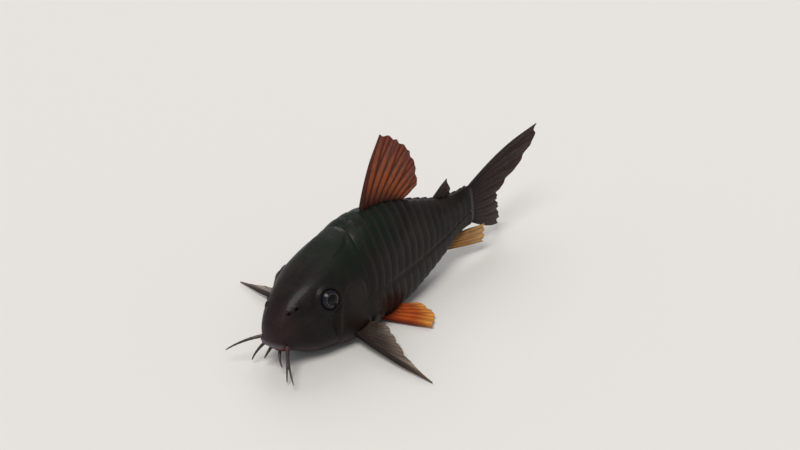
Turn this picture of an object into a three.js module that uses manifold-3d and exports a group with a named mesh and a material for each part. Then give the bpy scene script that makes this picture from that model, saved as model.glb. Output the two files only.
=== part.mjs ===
// A black corydoras catfish at rest on the bottom, as a life-size museum model.
// Millimetres, +Z up. The fish faces -X, its left side is -Y, and it lies on the plane z = 0.
// The origin is on the flat of the belly, under the middle of the trunk.
import * as THREE from "three";
import { mergeVertices } from "three/addons/utils/BufferGeometryUtils.js";
import Module from "manifold-3d";

const wasm = await Module();
wasm.setup();

// Driving dimensions, in millimetres
const BODY_LENGTH = 50; // the measure of every share of the length below
const SNOUT = 0.025; // the tip of the snout, as a share of the length; the tail fin's root is at 1
const ORIGIN_SHARE = 0.4; // the origin's place along the body
const GAP = 0.3; // clear space between neighbouring pieces
const PLATE_RISE = 0.34; // how far an armour plate's rear edge stands over the next plate
const MEMBRANE = 0.25; // half the thickness of a fin's membrane
const RAY_RISE = 0.2; // how far a fin ray stands out of the membrane, on each side
const EYE_RADIUS = 1.95;
const BARBEL_RADIUS = 0.36; // at the root
const HEAD_TURN = 1.0; // how far the snout is turned to the left

// Where the body is parted, as shares of its length
const HEAD_END = 0.362;
const TRUNK_END = 0.742;
const LAST_PLATE_END = 0.985;
const TRUNK_PLATES = 10;
const TAIL_PLATES = 7;

const lerp = THREE.MathUtils.lerp;
const clamp = THREE.MathUtils.clamp;
const smooth = (value, low, high) => THREE.MathUtils.smoothstep(value, low, high);
const radians = THREE.MathUtils.degToRad;

// A smooth curve through [place, value] pairs, with no overshoot. Places are spaced by the square root of
// their distance from the snout, so that the snout closes as a round dome.
const fromSnout = (place) => Math.sqrt(place - SNOUT);
function profile(pairs) {
  const xs = pairs.map((pair) => fromSnout(pair[0]));
  const ys = pairs.map((pair) => pair[1]);
  const slopes = xs.map((x, i) => {
    if (i === 0 || i === xs.length - 1) return null;
    const before = (ys[i] - ys[i - 1]) / (x - xs[i - 1]);
    const after = (ys[i + 1] - ys[i]) / (xs[i + 1] - x);
    return before * after <= 0 ? 0 : (2 * before * after) / (before + after);
  });
  const last = xs.length - 1;
  slopes[0] = (ys[1] - ys[0]) / (xs[1] - xs[0]);
  slopes[last] = (ys[last] - ys[last - 1]) / (xs[last] - xs[last - 1]);
  return (place) => {
    const x = fromSnout(clamp(place, pairs[0][0], pairs[last][0]));
    let i = 0;
    while (i < last - 1 && x > xs[i + 1]) i += 1;
    const width = xs[i + 1] - xs[i];
    const t = (x - xs[i]) / width;
    const t2 = t * t;
    const t3 = t2 * t;
    return (
      (2 * t3 - 3 * t2 + 1) * ys[i] +
      (t3 - 2 * t2 + t) * width * slopes[i] +
      (3 * t2 - 2 * t3) * ys[i + 1] +
      (t3 - t2) * width * slopes[i + 1]
    );
  };
}

// The body's back, belly and half width along its length, all as shares of the length
const backAt = profile([
  [0.0255, 0.118],
  [0.036, 0.158],
  [0.06, 0.196],
  [0.1, 0.235],
  [0.16, 0.272],
  [0.24, 0.308],
  [0.34, 0.342],
  [0.47, 0.373],
  [0.56, 0.367],
  [0.67, 0.337],
  [0.78, 0.297],
  [0.88, 0.262],
  [0.95, 0.258],
  [1.02, 0.262],
]);
const bellyAt = profile([
  [0.0255, 0.108],
  [0.036, 0.09],
  [0.06, 0.071],
  [0.1, 0.047],
  [0.16, 0.016],
  [0.24, -0.001],
  [0.3, -0.008],
  [0.5, -0.008],
  [0.6, -0.002],
  [0.7, 0.024],
  [0.8, 0.058],
  [0.9, 0.098],
  [0.96, 0.11],
  [1.02, 0.108],
]);
const halfWidthAt = profile([
  [0.0255, 0.008],
  [0.036, 0.041],
  [0.06, 0.061],
  [0.1, 0.082],
  [0.16, 0.107],
  [0.24, 0.128],
  [0.32, 0.138],
  [0.4, 0.134],
  [0.5, 0.118],
  [0.6, 0.1],
  [0.7, 0.08],
  [0.8, 0.059],
  [0.9, 0.038],
  [0.97, 0.024],
  [1.02, 0.018],
]);
const WIDEST_SHARE = 0.42; // height of the widest place, as a share of the depth
const HEAD_ROUNDNESS = 2.5; // 2 is an ellipse, more is boxier
const BACK_ROUNDNESS = 2.05;
const BELLY_ROUNDNESS = 2.7;
const PLATE_SLANT = 0.024; // plates lie further back away from the side's middle line
const PLATE_BULGE = 0.006; // and their rear edges are rounded

// The slant grows over the rear of the head and fades before the tail fin
const SLANT_START = 0.24;
const SLANT_FADES = 0.93;
const slantAt = (place) => smooth(place, SLANT_START, HEAD_END) * (1 - smooth(place, SLANT_FADES, 1));

// The upper half of the body is boxy across the head and rounder behind it
const BOXY_TO = 0.2;
const ROUND_FROM = 0.42;
const upperRoundness = (place) => lerp(HEAD_ROUNDNESS, BACK_ROUNDNESS, smooth(place, BOXY_TO, ROUND_FROM));

// How far the middle plane of the head lies to the side at a place along the body
const turnAt = (place) => -HEAD_TURN * clamp((HEAD_END - place) / (HEAD_END - SNOUT), 0, 1) ** 2;

// A point of the body's skin. The angle runs from 0 at the back, by 90 degrees on the left side, to 180
// at the belly, and on up the right side. raise lifts it off the skin, in millimetres.
function skinPoint(place, angle, raise = 0) {
  const c = Math.cos(angle);
  const s = Math.sin(angle);
  const height = Math.abs(c);
  const slant = PLATE_SLANT * height + PLATE_BULGE * Math.sin(2 * Math.PI * height);
  const along = place + slantAt(place) * slant;
  const top = backAt(along) * BODY_LENGTH;
  const bottom = bellyAt(along) * BODY_LENGTH;
  const half = halfWidthAt(along) * BODY_LENGTH;
  const middle = lerp(bottom, top, WIDEST_SHARE);
  const rise = c > 0 ? top - middle : middle - bottom;
  const power = 2 / (c > 0 ? upperRoundness(along) : BELLY_ROUNDNESS);
  const y = -half * Math.sign(s) * Math.abs(s) ** power;
  const z = middle + rise * Math.sign(c) * height ** power;
  const outwards = new THREE.Vector2(y / half ** 2, (z - middle) / rise ** 2).normalize();
  const x = (along - ORIGIN_SHARE) * BODY_LENGTH;
  const across = y + turnAt(along) + outwards.x * raise;
  return new THREE.Vector3(x, across, Math.max(z + outwards.y * raise, -raise));
}

// A closed mesh from rows of points, each row a ring. Each end is closed by a fan about its middle.
function ringsMesh(rings) {
  const size = rings[0].length;
  const points = rings.flat();
  const faces = [];
  for (let row = 0; row + 1 < rings.length; row += 1) {
    for (let i = 0; i < size; i += 1) {
      const a = row * size + i;
      const b = row * size + ((i + 1) % size);
      faces.push(a, b, b + size, a, b + size, a + size);
    }
  }
  [0, rings.length - 1].forEach((row, end) => {
    const centre = points.length;
    points.push(rings[row].reduce((sum, p) => sum.add(p), new THREE.Vector3()).divideScalar(size));
    for (let i = 0; i < size; i += 1) {
      const a = row * size + i;
      const b = row * size + ((i + 1) % size);
      if (end === 0) faces.push(centre, b, a);
      else faces.push(centre, a, b);
    }
  });
  return meshOf(points, faces);
}

// A closed sheet from two grids of points, split into triangles alike on both faces.
function sheetMesh(front, back) {
  const rows = front.length;
  const columns = front[0].length;
  const points = [...front.flat(), ...back.flat()];
  const other = rows * columns;
  const faces = [];
  for (let r = 0; r + 1 < rows; r += 1) {
    for (let c = 0; c + 1 < columns; c += 1) {
      const a = r * columns + c;
      const [p, q, t, u] = [a, a + 1, a + columns + 1, a + columns];
      faces.push(p, q, t, p, t, u);
      faces.push(p + other, t + other, q + other, p + other, u + other, t + other);
    }
  }
  const rim = [];
  for (let c = 0; c < columns; c += 1) rim.push(c);
  for (let r = 1; r < rows; r += 1) rim.push(r * columns + columns - 1);
  for (let c = columns - 2; c >= 0; c -= 1) rim.push((rows - 1) * columns + c);
  for (let r = rows - 2; r > 0; r -= 1) rim.push(r * columns);
  rim.forEach((a, i) => {
    const b = rim[(i + 1) % rim.length];
    faces.push(a, a + other, b + other, a, b + other, b);
  });
  return meshOf(points, faces);
}

function meshOf(points, faces) {
  const geometry = new THREE.BufferGeometry();
  const numbers = points.flatMap((p) => [p.x, p.y, p.z]);
  geometry.setAttribute("position", new THREE.Float32BufferAttribute(numbers, 3));
  geometry.setIndex(faces);
  return geometry;
}

// Closed meshes to solids that can be joined and cut, and back
const WELD = 1e-4; // corners that lie closer than this are one
function solidOf(geometry) {
  const bare = geometry.clone();
  bare.deleteAttribute("normal");
  bare.deleteAttribute("uv");
  const merged = mergeVertices(bare, WELD);
  const made = new wasm.Manifold(
    new wasm.Mesh({
      numProp: 3,
      vertProperties: new Float32Array(merged.attributes.position.array),
      triVerts: new Uint32Array(merged.index.array),
    }),
  );
  if (made.volume() > 0) return made;
  const turned = merged.index.array.slice();
  for (let i = 0; i < turned.length; i += 3) {
    [turned[i + 1], turned[i + 2]] = [turned[i + 2], turned[i + 1]];
  }
  merged.setIndex([...turned]);
  return solidOf(merged);
}

function geometryOf(solid) {
  const mesh = solid.getMesh();
  const geometry = new THREE.BufferGeometry();
  geometry.setAttribute("position", new THREE.BufferAttribute(mesh.vertProperties, 3));
  geometry.setIndex(new THREE.BufferAttribute(mesh.triVerts, 1));
  return geometry;
}

// The largest closed piece of a solid
const larger = (best, piece) => (piece.volume() > best.volume() ? piece : best);
const largest = (solid) => solid.decompose().reduce(larger);

// Only what lies on or above the floor
const ROOM = 400;
const aboveFloor = solidOf(new THREE.BoxGeometry(ROOM, ROOM, ROOM).translate(0, 0, ROOM / 2));
const onFloor = (solid) => solid.intersect(aboveFloor);

// A tapered round tube along a curve, closed at both ends
function taperedTube(curve, radiusAt, steps, sides) {
  const frames = curve.computeFrenetFrames(steps, false);
  const rings = [];
  for (let i = 0; i <= steps; i += 1) {
    const centre = curve.getPointAt(i / steps);
    const radius = radiusAt(i / steps);
    const ring = [];
    for (let k = 0; k < sides; k += 1) {
      const turn = (k / sides) * 2 * Math.PI;
      ring.push(
        centre
          .clone()
          .addScaledVector(frames.normals[i], Math.cos(turn) * radius)
          .addScaledVector(frames.binormals[i], Math.sin(turn) * radius),
      );
    }
    rings.push(ring);
  }
  return solidOf(ringsMesh(rings));
}

// Angles of a ring of skin points, in degrees from the back, closer where the plate rows meet
const SIDE_ANGLES = [10, 24, 40, 56, 72, 85, 90, 95, 108, 124, 140, 158];
const RING_ANGLES = [0, ...SIDE_ANGLES, 180, ...SIDE_ANGLES.map((a) => 360 - a).reverse()];

// How much of a plate's rise a ring point takes: none on the seams along the back and the side, nor on
// the belly, which is bare
const BACK_SEAM = 8;
const SIDE_SEAM = 4;
const BARE_FROM = 124;
const BARE_TO = 160;
function plateShare(degrees) {
  const side = degrees > 180 ? 360 - degrees : degrees;
  const fromSeam = Math.min(side / BACK_SEAM, Math.abs(side - 90) / SIDE_SEAM, 1);
  return fromSeam * (1 - smooth(side, BARE_FROM, BARE_TO));
}

const skinRing = (place, rise, raise = 0) =>
  RING_ANGLES.map((degrees) => skinPoint(place, radians(degrees), rise * plateShare(degrees) + raise));

// Rings of the smooth head, from the snout to the gill openings
const SNOUT_END = SNOUT + 0.0006;
const HEAD_PLACES = [0.029, 0.037, 0.05, 0.068, 0.093, 0.122, 0.155, 0.19, 0.23, 0.27, 0.31, 0.34];
const headRings = (raise) =>
  [SNOUT_END, ...HEAD_PLACES, HEAD_END].map((place) => skinRing(place, 0, raise));

// Rings of a stretch of armour plates: each plate rises from its front to its rear edge, then steps down
const PLATE_STEP = 0.002; // length of the step down, as a share of the body's length
const CREST_PLACE = 0.55; // where a plate bends, as a share of its own length
const CREST_RISE = 0.75; // and how much of its rise it has reached there
const THINNING = 0.45; // how much flatter the last plates are than the first
const THINS_FROM = 0.6;
function plateRings(from, to, count, raise) {
  const rings = [];
  const pitch = (to - from) / count;
  for (let k = 0; k < count; k += 1) {
    const start = from + k * pitch;
    const rise = PLATE_RISE * (1 - THINNING * smooth(start, THINS_FROM, 1));
    rings.push(skinRing(start, 0, raise));
    rings.push(skinRing(start + pitch * CREST_PLACE, rise * CREST_RISE, raise));
    rings.push(skinRing(start + pitch - PLATE_STEP, rise, raise));
  }
  return rings;
}

const GAP_SHARE = GAP / BODY_LENGTH;
const trunkRings = (raise) => [
  ...plateRings(HEAD_END + GAP_SHARE, TRUNK_END - GAP_SHARE / 2, TRUNK_PLATES, raise),
  skinRing(TRUNK_END - GAP_SHARE / 2, 0, raise),
];
const tailRings = (raise) => [
  ...plateRings(TRUNK_END + GAP_SHARE / 2, LAST_PLATE_END, TAIL_PLATES, raise),
  skinRing(LAST_PLATE_END, 0, raise),
  skinRing(1, 0, raise),
];

// A raised bony plate on the skin, rounded in outline, with its root sunk into the body.
// Its middle and half sizes are a place along the body and an angle round it, in degrees.
const PLATE_SECTORS = 18;
const PLATE_ROOT = 1; // depth of the root
const PLATE_CORNERS = 0.8; // 1 is an ellipse, less is squarer
const DEGREES_PER_MM = 4; // how much an angle grows where the whole body is grown
// Its top, from a flat middle to its rim: how far out each ring is, and its share of the rise
const PLATE_TOP = [
  [0.3, 1],
  [0.75, 1],
  [0.95, 0.8],
  [1, 0.25],
];
const PLATE_MIDDLE = PLATE_TOP[0][0];
function skinPlate({ place, angle, halfPlace, halfAngle, lean = 0, rise, raise = 0 }) {
  const squared = (value) => Math.sign(value) * Math.abs(value) ** PLATE_CORNERS;
  const alongHalf = halfPlace + raise / BODY_LENGTH;
  const aroundHalf = halfAngle + raise * DEGREES_PER_MM;
  const ring = (size, lift) => {
    const points = [];
    for (let k = 0; k < PLATE_SECTORS; k += 1) {
      const turn = (k / PLATE_SECTORS) * 2 * Math.PI;
      const along = squared(Math.cos(turn)) * size;
      const around = squared(Math.sin(turn)) * size;
      const spot = place + along * alongHalf + around * lean;
      points.push(skinPoint(spot, radians(angle + around * aroundHalf), lift));
    }
    return points;
  };
  return solidOf(
    ringsMesh([
      ...PLATE_TOP.map(([size, share]) => ring(size, rise * share + raise)),
      ring(1, -PLATE_ROOT),
      ring(PLATE_MIDDLE, -PLATE_ROOT),
    ]),
  );
}

// The same plate on the left or the right side
const onSide = (plate, side) =>
  side === "l" ? plate : { ...plate, angle: 360 - plate.angle, halfAngle: -plate.halfAngle };

// The plates of the head, the nape and the shoulders
const GILL_COVER = { place: 0.292, angle: 101, halfPlace: 0.056, halfAngle: 40, lean: -0.012, rise: 0.34 };
const CHEEK = { place: 0.172, angle: 102, halfPlace: 0.05, halfAngle: 26, lean: 0.012, rise: 0.2 };
const CROWN = { place: 0.29, angle: 0, halfPlace: 0.062, halfAngle: 24, rise: 0.26 };
const NAPE = { place: 0.415, angle: 0, halfPlace: 0.036, halfAngle: 20, rise: 0.42 };
const SHOULDER = { place: 0.392, angle: 128, halfPlace: 0.026, halfAngle: 22, lean: 0.008, rise: 0.5 };

// The place on the snout where the skin has a height and a distance from the head's middle plane
const SNOUT_SEARCH = 0.3;
const HALVINGS = 30;
function snoutPlace(y, z) {
  let near = SNOUT_END;
  let far = SNOUT_SEARCH;
  for (let i = 0; i < HALVINGS; i += 1) {
    const place = (near + far) / 2;
    const top = backAt(place) * BODY_LENGTH;
    const bottom = bellyAt(place) * BODY_LENGTH;
    const middle = lerp(bottom, top, WIDEST_SHARE);
    const upper = z > middle;
    const power = upper ? upperRoundness(place) : BELLY_ROUNDNESS;
    const rise = upper ? top - middle : middle - bottom;
    const across = Math.abs(y / (halfWidthAt(place) * BODY_LENGTH)) ** power;
    const up = Math.abs((z - middle) / rise) ** power;
    if (across + up < 1) far = place;
    else near = place;
  }
  return far;
}

// The lips and the groove between them are rolls along the snout, from one corner of the mouth to the
// other. Their sizes are a height, a half width, a radius, how far the corners hang, and a depth in
// the skin.
const UPPER_LIP = { height: 5.15, halfWidth: 2.5, radius: 0.5, corner: 0.3, depth: 0.12 };
const LOWER_LIP = { height: 4.1, halfWidth: 2, radius: 0.42, corner: -0.1, depth: 0.12 };
const MOUTH_GROOVE = { height: 4.6, halfWidth: 2.4, radius: 0.26, corner: 0.05, depth: -0.08 };
const ROLL_POINTS = 8;
const ROLL_STEPS = 16;
const ROLL_SIDES = 8;
const CORNER_THINNING = 0.35;
function mouthRoll({ height, halfWidth, radius, corner, depth }, raise = 0) {
  const points = [];
  for (let i = 0; i <= ROLL_POINTS; i += 1) {
    const share = (2 * i) / ROLL_POINTS - 1;
    const y = share * halfWidth;
    const z = height - corner * share ** 2;
    const place = snoutPlace(y, z);
    const x = (place - ORIGIN_SHARE) * BODY_LENGTH + depth;
    points.push(new THREE.Vector3(x, y + turnAt(place), z));
  }
  const radiusAt = (t) => (radius + raise) * (1 - CORNER_THINNING * Math.abs(2 * t - 1) ** 3);
  return taperedTube(new THREE.CatmullRomCurve3(points), radiusAt, ROLL_STEPS, ROLL_SIDES);
}

const join = (solids) => solids.reduce((sum, solid) => sum.add(solid));
const both = (plate, raise) => ["l", "r"].map((side) => skinPlate({ ...onSide(plate, side), raise }));
const headForms = (raise) => [
  ...both(GILL_COVER, raise),
  ...both(CHEEK, raise),
  skinPlate({ ...CROWN, raise }),
  mouthRoll(UPPER_LIP, raise),
  mouthRoll(LOWER_LIP, raise),
];
const trunkForms = (raise) => [...both(SHOULDER, raise), skinPlate({ ...NAPE, raise })];

// The whole body grown by the gap, which cuts the roots of the fins to the body's surface
const grownBody = join([
  solidOf(ringsMesh([...headRings(GAP), ...trunkRings(GAP), ...tailRings(GAP)])),
  ...headForms(GAP),
  ...trunkForms(GAP),
]);

// Eyes, set high on the sides of the head, in sockets with raised rims
const EYE_PLACE = 0.215;
const EYE_ANGLE = 65.5;
const EYE_SINK = 0.98;
const EYE_SEGMENTS = 16;
const EYE_ROWS = 10;
const SOCKET_RIM = { radius: EYE_RADIUS + 0.25, thickness: 0.46, lift: -0.08, segments: 20 };
const onSideAngle = (angle, side) => (side === "l" ? angle : 360 - angle);
function eyeBall(side, radius) {
  const centre = skinPoint(EYE_PLACE, radians(onSideAngle(EYE_ANGLE, side)), -EYE_SINK);
  const ball = new THREE.SphereGeometry(radius, EYE_SEGMENTS, EYE_ROWS);
  return ball.rotateX(Math.PI / 2).translate(centre.x, centre.y, centre.z);
}

// A ring lying on the skin, such as the rim of an eye's socket or of a nostril
const RIM_SIDES = 6;
function skinRim(place, angle, { radius, thickness, lift, segments }) {
  const centre = skinPoint(place, radians(angle), lift);
  const foot = skinPoint(place, radians(angle), 0);
  const outwards = skinPoint(place, radians(angle), 1).sub(foot).normalize();
  const turn = new THREE.Quaternion().setFromUnitVectors(new THREE.Vector3(0, 0, 1), outwards);
  const rim = new THREE.TorusGeometry(radius, thickness, RIM_SIDES, segments);
  return solidOf(rim.applyQuaternion(turn).translate(centre.x, centre.y, centre.z));
}

// Two pairs of nostrils, the rear ones further out
const NOSTRILS = [
  { place: 0.082, angle: 42 },
  { place: 0.107, angle: 47 },
];
const NOSTRIL_RADIUS = 0.36;
const NOSTRIL_LIFT = 0.1;
const NOSTRIL_SEGMENTS = [8, 6];
const NOSTRIL_RIM = { radius: NOSTRIL_RADIUS + 0.06, thickness: 0.15, lift: 0.02, segments: 10 };
function nostrilPit(place, angle) {
  const centre = skinPoint(place, radians(angle), NOSTRIL_LIFT);
  const ball = new THREE.SphereGeometry(NOSTRIL_RADIUS, ...NOSTRIL_SEGMENTS);
  return solidOf(ball.translate(centre.x, centre.y, centre.z));
}

function headSolid() {
  let head = join([solidOf(ringsMesh(headRings(0))), ...headForms(0)]);
  for (const side of ["l", "r"]) {
    head = head.add(skinRim(EYE_PLACE, onSideAngle(EYE_ANGLE, side), SOCKET_RIM));
    head = head.subtract(solidOf(eyeBall(side, EYE_RADIUS + GAP)));
    for (const { place, angle } of NOSTRILS) {
      head = head.add(skinRim(place, onSideAngle(angle, side), NOSTRIL_RIM));
      head = head.subtract(nostrilPit(place, onSideAngle(angle, side)));
    }
  }
  head = head.subtract(mouthRoll(MOUTH_GROOVE));
  return largest(onFloor(head));
}

const trunkSolid = () => largest(onFloor(join([solidOf(ringsMesh(trunkRings(0))), ...trunkForms(0)])));
const tailSolid = () => largest(onFloor(solidOf(ringsMesh(tailRings(0)))));

// A fin's mesh. rootAt(share) and directionAt(share) give the root and the way of the ray at a share of
// the way from the leading ray to the last, and lengthAt its length. bendAt(share, out) moves a spot that
// is a share out along its ray, and across is the way through the sheet.
const FIN_ROWS = 6;
const NOTCH = 0.025; // how much shorter the membrane is than its rays
const TIP_THINNING = 0.55; // how much thinner a fin is at its edge
const THIN_FROM = 0.75;
const RAY_FADING = 0.6; // how much lower a ray is at the edge than at its root
const SPINE_FADING = 0.7;
function finSolid({ rays, rootAt, directionAt, lengthAt, across, spine, sink, bendAt, notch = NOTCH }) {
  const columns = 2 * rays - 1;
  const front = [];
  const back = [];
  for (let r = 0; r <= FIN_ROWS; r += 1) {
    const frontRow = [];
    const backRow = [];
    for (let c = 0; c < columns; c += 1) {
      const share = c / (columns - 1);
      const onRay = c % 2 === 0;
      const length = lengthAt(share) * (onRay ? 1 : 1 - notch);
      const reach = lerp(-sink, length, r / FIN_ROWS);
      const out = clamp(reach / length, 0, 1);
      const point = rootAt(share).addScaledVector(directionAt(share), reach).add(bendAt(share, out));
      const taper = 1 - TIP_THINNING * smooth(out, THIN_FROM, 1);
      const ridge = onRay ? RAY_RISE * (1 - RAY_FADING * out) : 0;
      const leading = c === 0 ? spine * (1 - SPINE_FADING * out) : 0;
      const half = (MEMBRANE + ridge + leading) * taper;
      frontRow.push(point.clone().addScaledVector(across, half));
      backRow.push(point.clone().addScaledVector(across, -half));
    }
    front.push(frontRow);
    back.push(backRow);
  }
  return solidOf(sheetMesh(front, back));
}

// A point from shares of the body's length: back from the snout, out to one side of the body's middle
// plane, and up
function atShares([along, out, up], side) {
  const flat = side === "l" ? -out : out;
  const point = new THREE.Vector3(along - ORIGIN_SHARE, flat, up).multiplyScalar(BODY_LENGTH);
  return point.setY(point.y + turnAt(along));
}

// A fin or a barbel cut to the grown body's surface
const rooted = (fin) => largest(onFloor(fin.subtract(grownBody)));
const ACROSS = new THREE.Vector3(0, 1, 0);

// Fins on the middle line of the back or the belly. base gives the places of the first and the last ray,
// lean their angles from upright, long their lengths, sweep how far the leading tip bends back, and aside
// how far the edge hangs to the right of the middle line.
const DORSAL = {
  rays: 8,
  base: [0.463, 0.642],
  lean: [16, 74],
  leanPower: 1.05,
  long: [0.243, 0.085],
  longPower: 1.45,
  sweep: 0.045,
  aside: 0,
  spine: 0.28,
  sink: 1.6,
};
const ADIPOSE = {
  rays: 3,
  base: [0.8, 0.868],
  lean: [56, 76],
  leanPower: 1,
  long: [0.088, 0.018],
  longPower: 1,
  sweep: 0,
  aside: 0,
  spine: 0.16,
  sink: 0.8,
  notch: 0,
};
const ANAL = {
  rays: 6,
  base: [0.81, 0.89],
  lean: [80, 92],
  leanPower: 1,
  long: [0.195, 0.12],
  longPower: 1,
  sweep: 0,
  aside: -0.036,
  spine: 0.08,
  sink: 1,
  below: true,
};
function middleFin({ base, lean, leanPower, long, longPower, sweep, aside, below = false, ...rest }) {
  return rooted(
    finSolid({
      ...rest,
      across: ACROSS,
      rootAt: (share) => skinPoint(lerp(...base, share), below ? Math.PI : 0).setY(0),
      directionAt: (share) => {
        const angle = radians(lerp(...lean, share ** leanPower));
        return new THREE.Vector3(Math.sin(angle), 0, below ? -Math.cos(angle) : Math.cos(angle));
      },
      lengthAt: (share) => BODY_LENGTH * lerp(...long, share ** longPower),
      bendAt: (share, out) => {
        const back = sweep * out ** 2 * (1 - share);
        return new THREE.Vector3(back, aside * out, 0).multiplyScalar(BODY_LENGTH);
      },
    }),
  );
}

// The tail fin is forked. Its upper lobe stands up and back, and its lower lobe is swung to the right.
const TAIL = {
  rays: 12,
  heights: [0.245, 0.125],
  lean: [16, -28.5],
  upper: 0.402,
  centre: 0.17,
  lower: 0.25,
  swing: 0.055,
  swingFrom: 0.4,
  upperArch: 0.02,
  lowerArch: -0.0084,
  spine: 0.1,
  sink: 0.5,
};
const MIDDLE_RAY = 0.5;
function tailFin() {
  const outer = (share) => Math.abs(2 * share - 1);
  const isUpper = (share) => share < MIDDLE_RAY;
  return rooted(
    finSolid({
      rays: TAIL.rays,
      spine: TAIL.spine,
      sink: TAIL.sink,
      across: ACROSS,
      rootAt: (share) => atShares([LAST_PLATE_END, 0, lerp(...TAIL.heights, share)], "l"),
      directionAt: (share) => {
        const lean = radians(lerp(...TAIL.lean, share));
        return new THREE.Vector3(Math.cos(lean), 0, Math.sin(lean));
      },
      lengthAt: (share) => {
        const lobe = isUpper(share) ? TAIL.upper : TAIL.lower;
        return BODY_LENGTH * lerp(TAIL.centre, lobe, smooth(outer(share), 0, 1));
      },
      bendAt: (share, out) => {
        const swing = TAIL.swing * smooth(share, TAIL.swingFrom, 1) * out ** 2;
        const arch = (isUpper(share) ? TAIL.upperArch : TAIL.lowerArch) * Math.sin(Math.PI * out);
        return new THREE.Vector3(0, swing, arch * outer(share)).multiplyScalar(BODY_LENGTH);
      },
    }),
  );
}

// The tail fin is parted at the fork, so that each lobe is a piece of its own
function tailLobe(fin, up) {
  const slope = radians(lerp(...TAIL.lean, MIDDLE_RAY));
  const root = atShares([LAST_PLATE_END, 0, lerp(...TAIL.heights, MIDDLE_RAY)], "l");
  const half = new THREE.BoxGeometry(ROOM, ROOM, ROOM).translate(0, 0, (up * (ROOM + GAP)) / 2);
  return largest(fin.intersect(solidOf(half.rotateY(-slope).translate(root.x, root.y, root.z))));
}

// The paired fins. start and stop are the roots of the first and the last ray, sweep their angles back
// from straight out, drop how far they point down, and curl how far a tip bends back.
const PECTORAL = {
  rays: 7,
  start: [0.3, 0.108, 0.056],
  stop: [0.35, 0.108, 0.07],
  drop: 0.13,
  long: [0.38, 0.07],
  longPower: 0.42,
  curl: 0.03,
  tilt: [0.25, 0.12],
  spine: 0.3,
  sink: 0.9,
};
const PELVIC = {
  rays: 6,
  start: [0.458, 0.1, 0.022],
  stop: [0.52, 0.075, 0.026],
  sweep: [23, 60],
  drop: 0.06,
  long: [0.17, 0.085],
  longPower: 2.2,
  curl: 0,
  tilt: [0.1, 0.12],
  spine: 0.12,
  sink: 1.2,
};
// The left pectoral fin is held further forward than the right
const PECTORAL_SWEEP = { l: [-7, 8], r: [1, 22] };
function pairedFin({ start, stop, sweep, drop, long, longPower, curl, tilt, ...rest }, side) {
  const flip = side === "l" ? -1 : 1;
  return rooted(
    finSolid({
      ...rest,
      across: new THREE.Vector3(tilt[0], tilt[1] * flip, 1).normalize(),
      rootAt: (share) => {
        const spot = start.map((value, i) => lerp(value, stop[i], share));
        return atShares(spot, side);
      },
      directionAt: (share) => {
        const angle = radians(lerp(...sweep, share));
        return new THREE.Vector3(Math.sin(angle), Math.cos(angle) * flip, -drop).normalize();
      },
      lengthAt: (share) => BODY_LENGTH * lerp(...long, share ** longPower),
      bendAt: (share, out) => new THREE.Vector3(BODY_LENGTH * curl * out ** 2, 0, 0),
    }),
  );
}

// Three pairs of barbels round the mouth, each through its root, its middle and its tip. Each point is
// given as shares of the body's length.
const BARBELS = {
  upper_l: [[0.058, 0.052, 0.092], [0.014, 0.1, 0.066], [-0.02, 0.154, 0.03]],
  upper_r: [[0.054, 0.048, 0.1], [0, 0.095, 0.088], [-0.035, 0.15, 0.05]],
  lower_l: [[0.064, 0.05, 0.078], [0.028, 0.075, 0.046], [-0.006, 0.106, 0.014]],
  lower_r: [[0.06, 0.042, 0.082], [0.03, 0.066, 0.05], [0.014, 0.082, 0.014]],
  chin_l: [[0.058, 0.018, 0.076], [0.036, 0.034, 0.054], [0.026, 0.052, 0.032]],
  chin_r: [[0.058, 0.016, 0.076], [0.036, 0.022, 0.056], [0.026, 0.032, 0.034]],
};
const BARBEL_TAPER = 0.55;
const BARBEL_STEPS = 10;
const BARBEL_SIDES = 8;
function barbel(name) {
  const side = name.slice(-1);
  const curve = new THREE.CatmullRomCurve3(BARBELS[name].map((spot) => atShares(spot, side)));
  const radiusAt = (share) => BARBEL_RADIUS * (1 - BARBEL_TAPER * share);
  return rooted(taperedTube(curve, radiusAt, BARBEL_STEPS, BARBEL_SIDES));
}

// Colours and finishes
const skin = new THREE.MeshStandardMaterial({ color: 0x16120f, roughness: 0.38, metalness: 0 });
const finRed = new THREE.MeshStandardMaterial({ color: 0x7a2a12, roughness: 0.45, metalness: 0 });
const finOrange = new THREE.MeshStandardMaterial({ color: 0xc05a18, roughness: 0.45, metalness: 0 });
const finDark = new THREE.MeshStandardMaterial({ color: 0x241814, roughness: 0.45, metalness: 0 });
const eyeGlass = new THREE.MeshStandardMaterial({ color: 0x05060a, roughness: 0.08, metalness: 0 });

const fish = new THREE.Group();
fish.name = "corydoras";
function add(name, solid, material) {
  const mesh = new THREE.Mesh(geometryOf(solid), material);
  mesh.name = name;
  fish.add(mesh);
}

add("head", headSolid(), skin);
add("trunk", trunkSolid(), skin);
add("tail", tailSolid(), skin);
add("dorsal_fin", middleFin(DORSAL), finRed);
add("adipose_fin", middleFin(ADIPOSE), finDark);
add("anal_fin", middleFin(ANAL), finOrange);
const forkedFin = tailFin();
add("tail_fin_upper", tailLobe(forkedFin, 1), finDark);
add("tail_fin_lower", tailLobe(forkedFin, -1), finDark);
for (const side of ["l", "r"]) {
  add(`eye_${side}`, solidOf(eyeBall(side, EYE_RADIUS)), eyeGlass);
  add(`pectoral_fin_${side}`, pairedFin({ ...PECTORAL, sweep: PECTORAL_SWEEP[side] }, side), finDark);
  add(`pelvic_fin_${side}`, pairedFin(PELVIC, side), finOrange);
}
for (const name of Object.keys(BARBELS)) add(`barbel_${name}`, barbel(name), skin);

export default fish;
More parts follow.
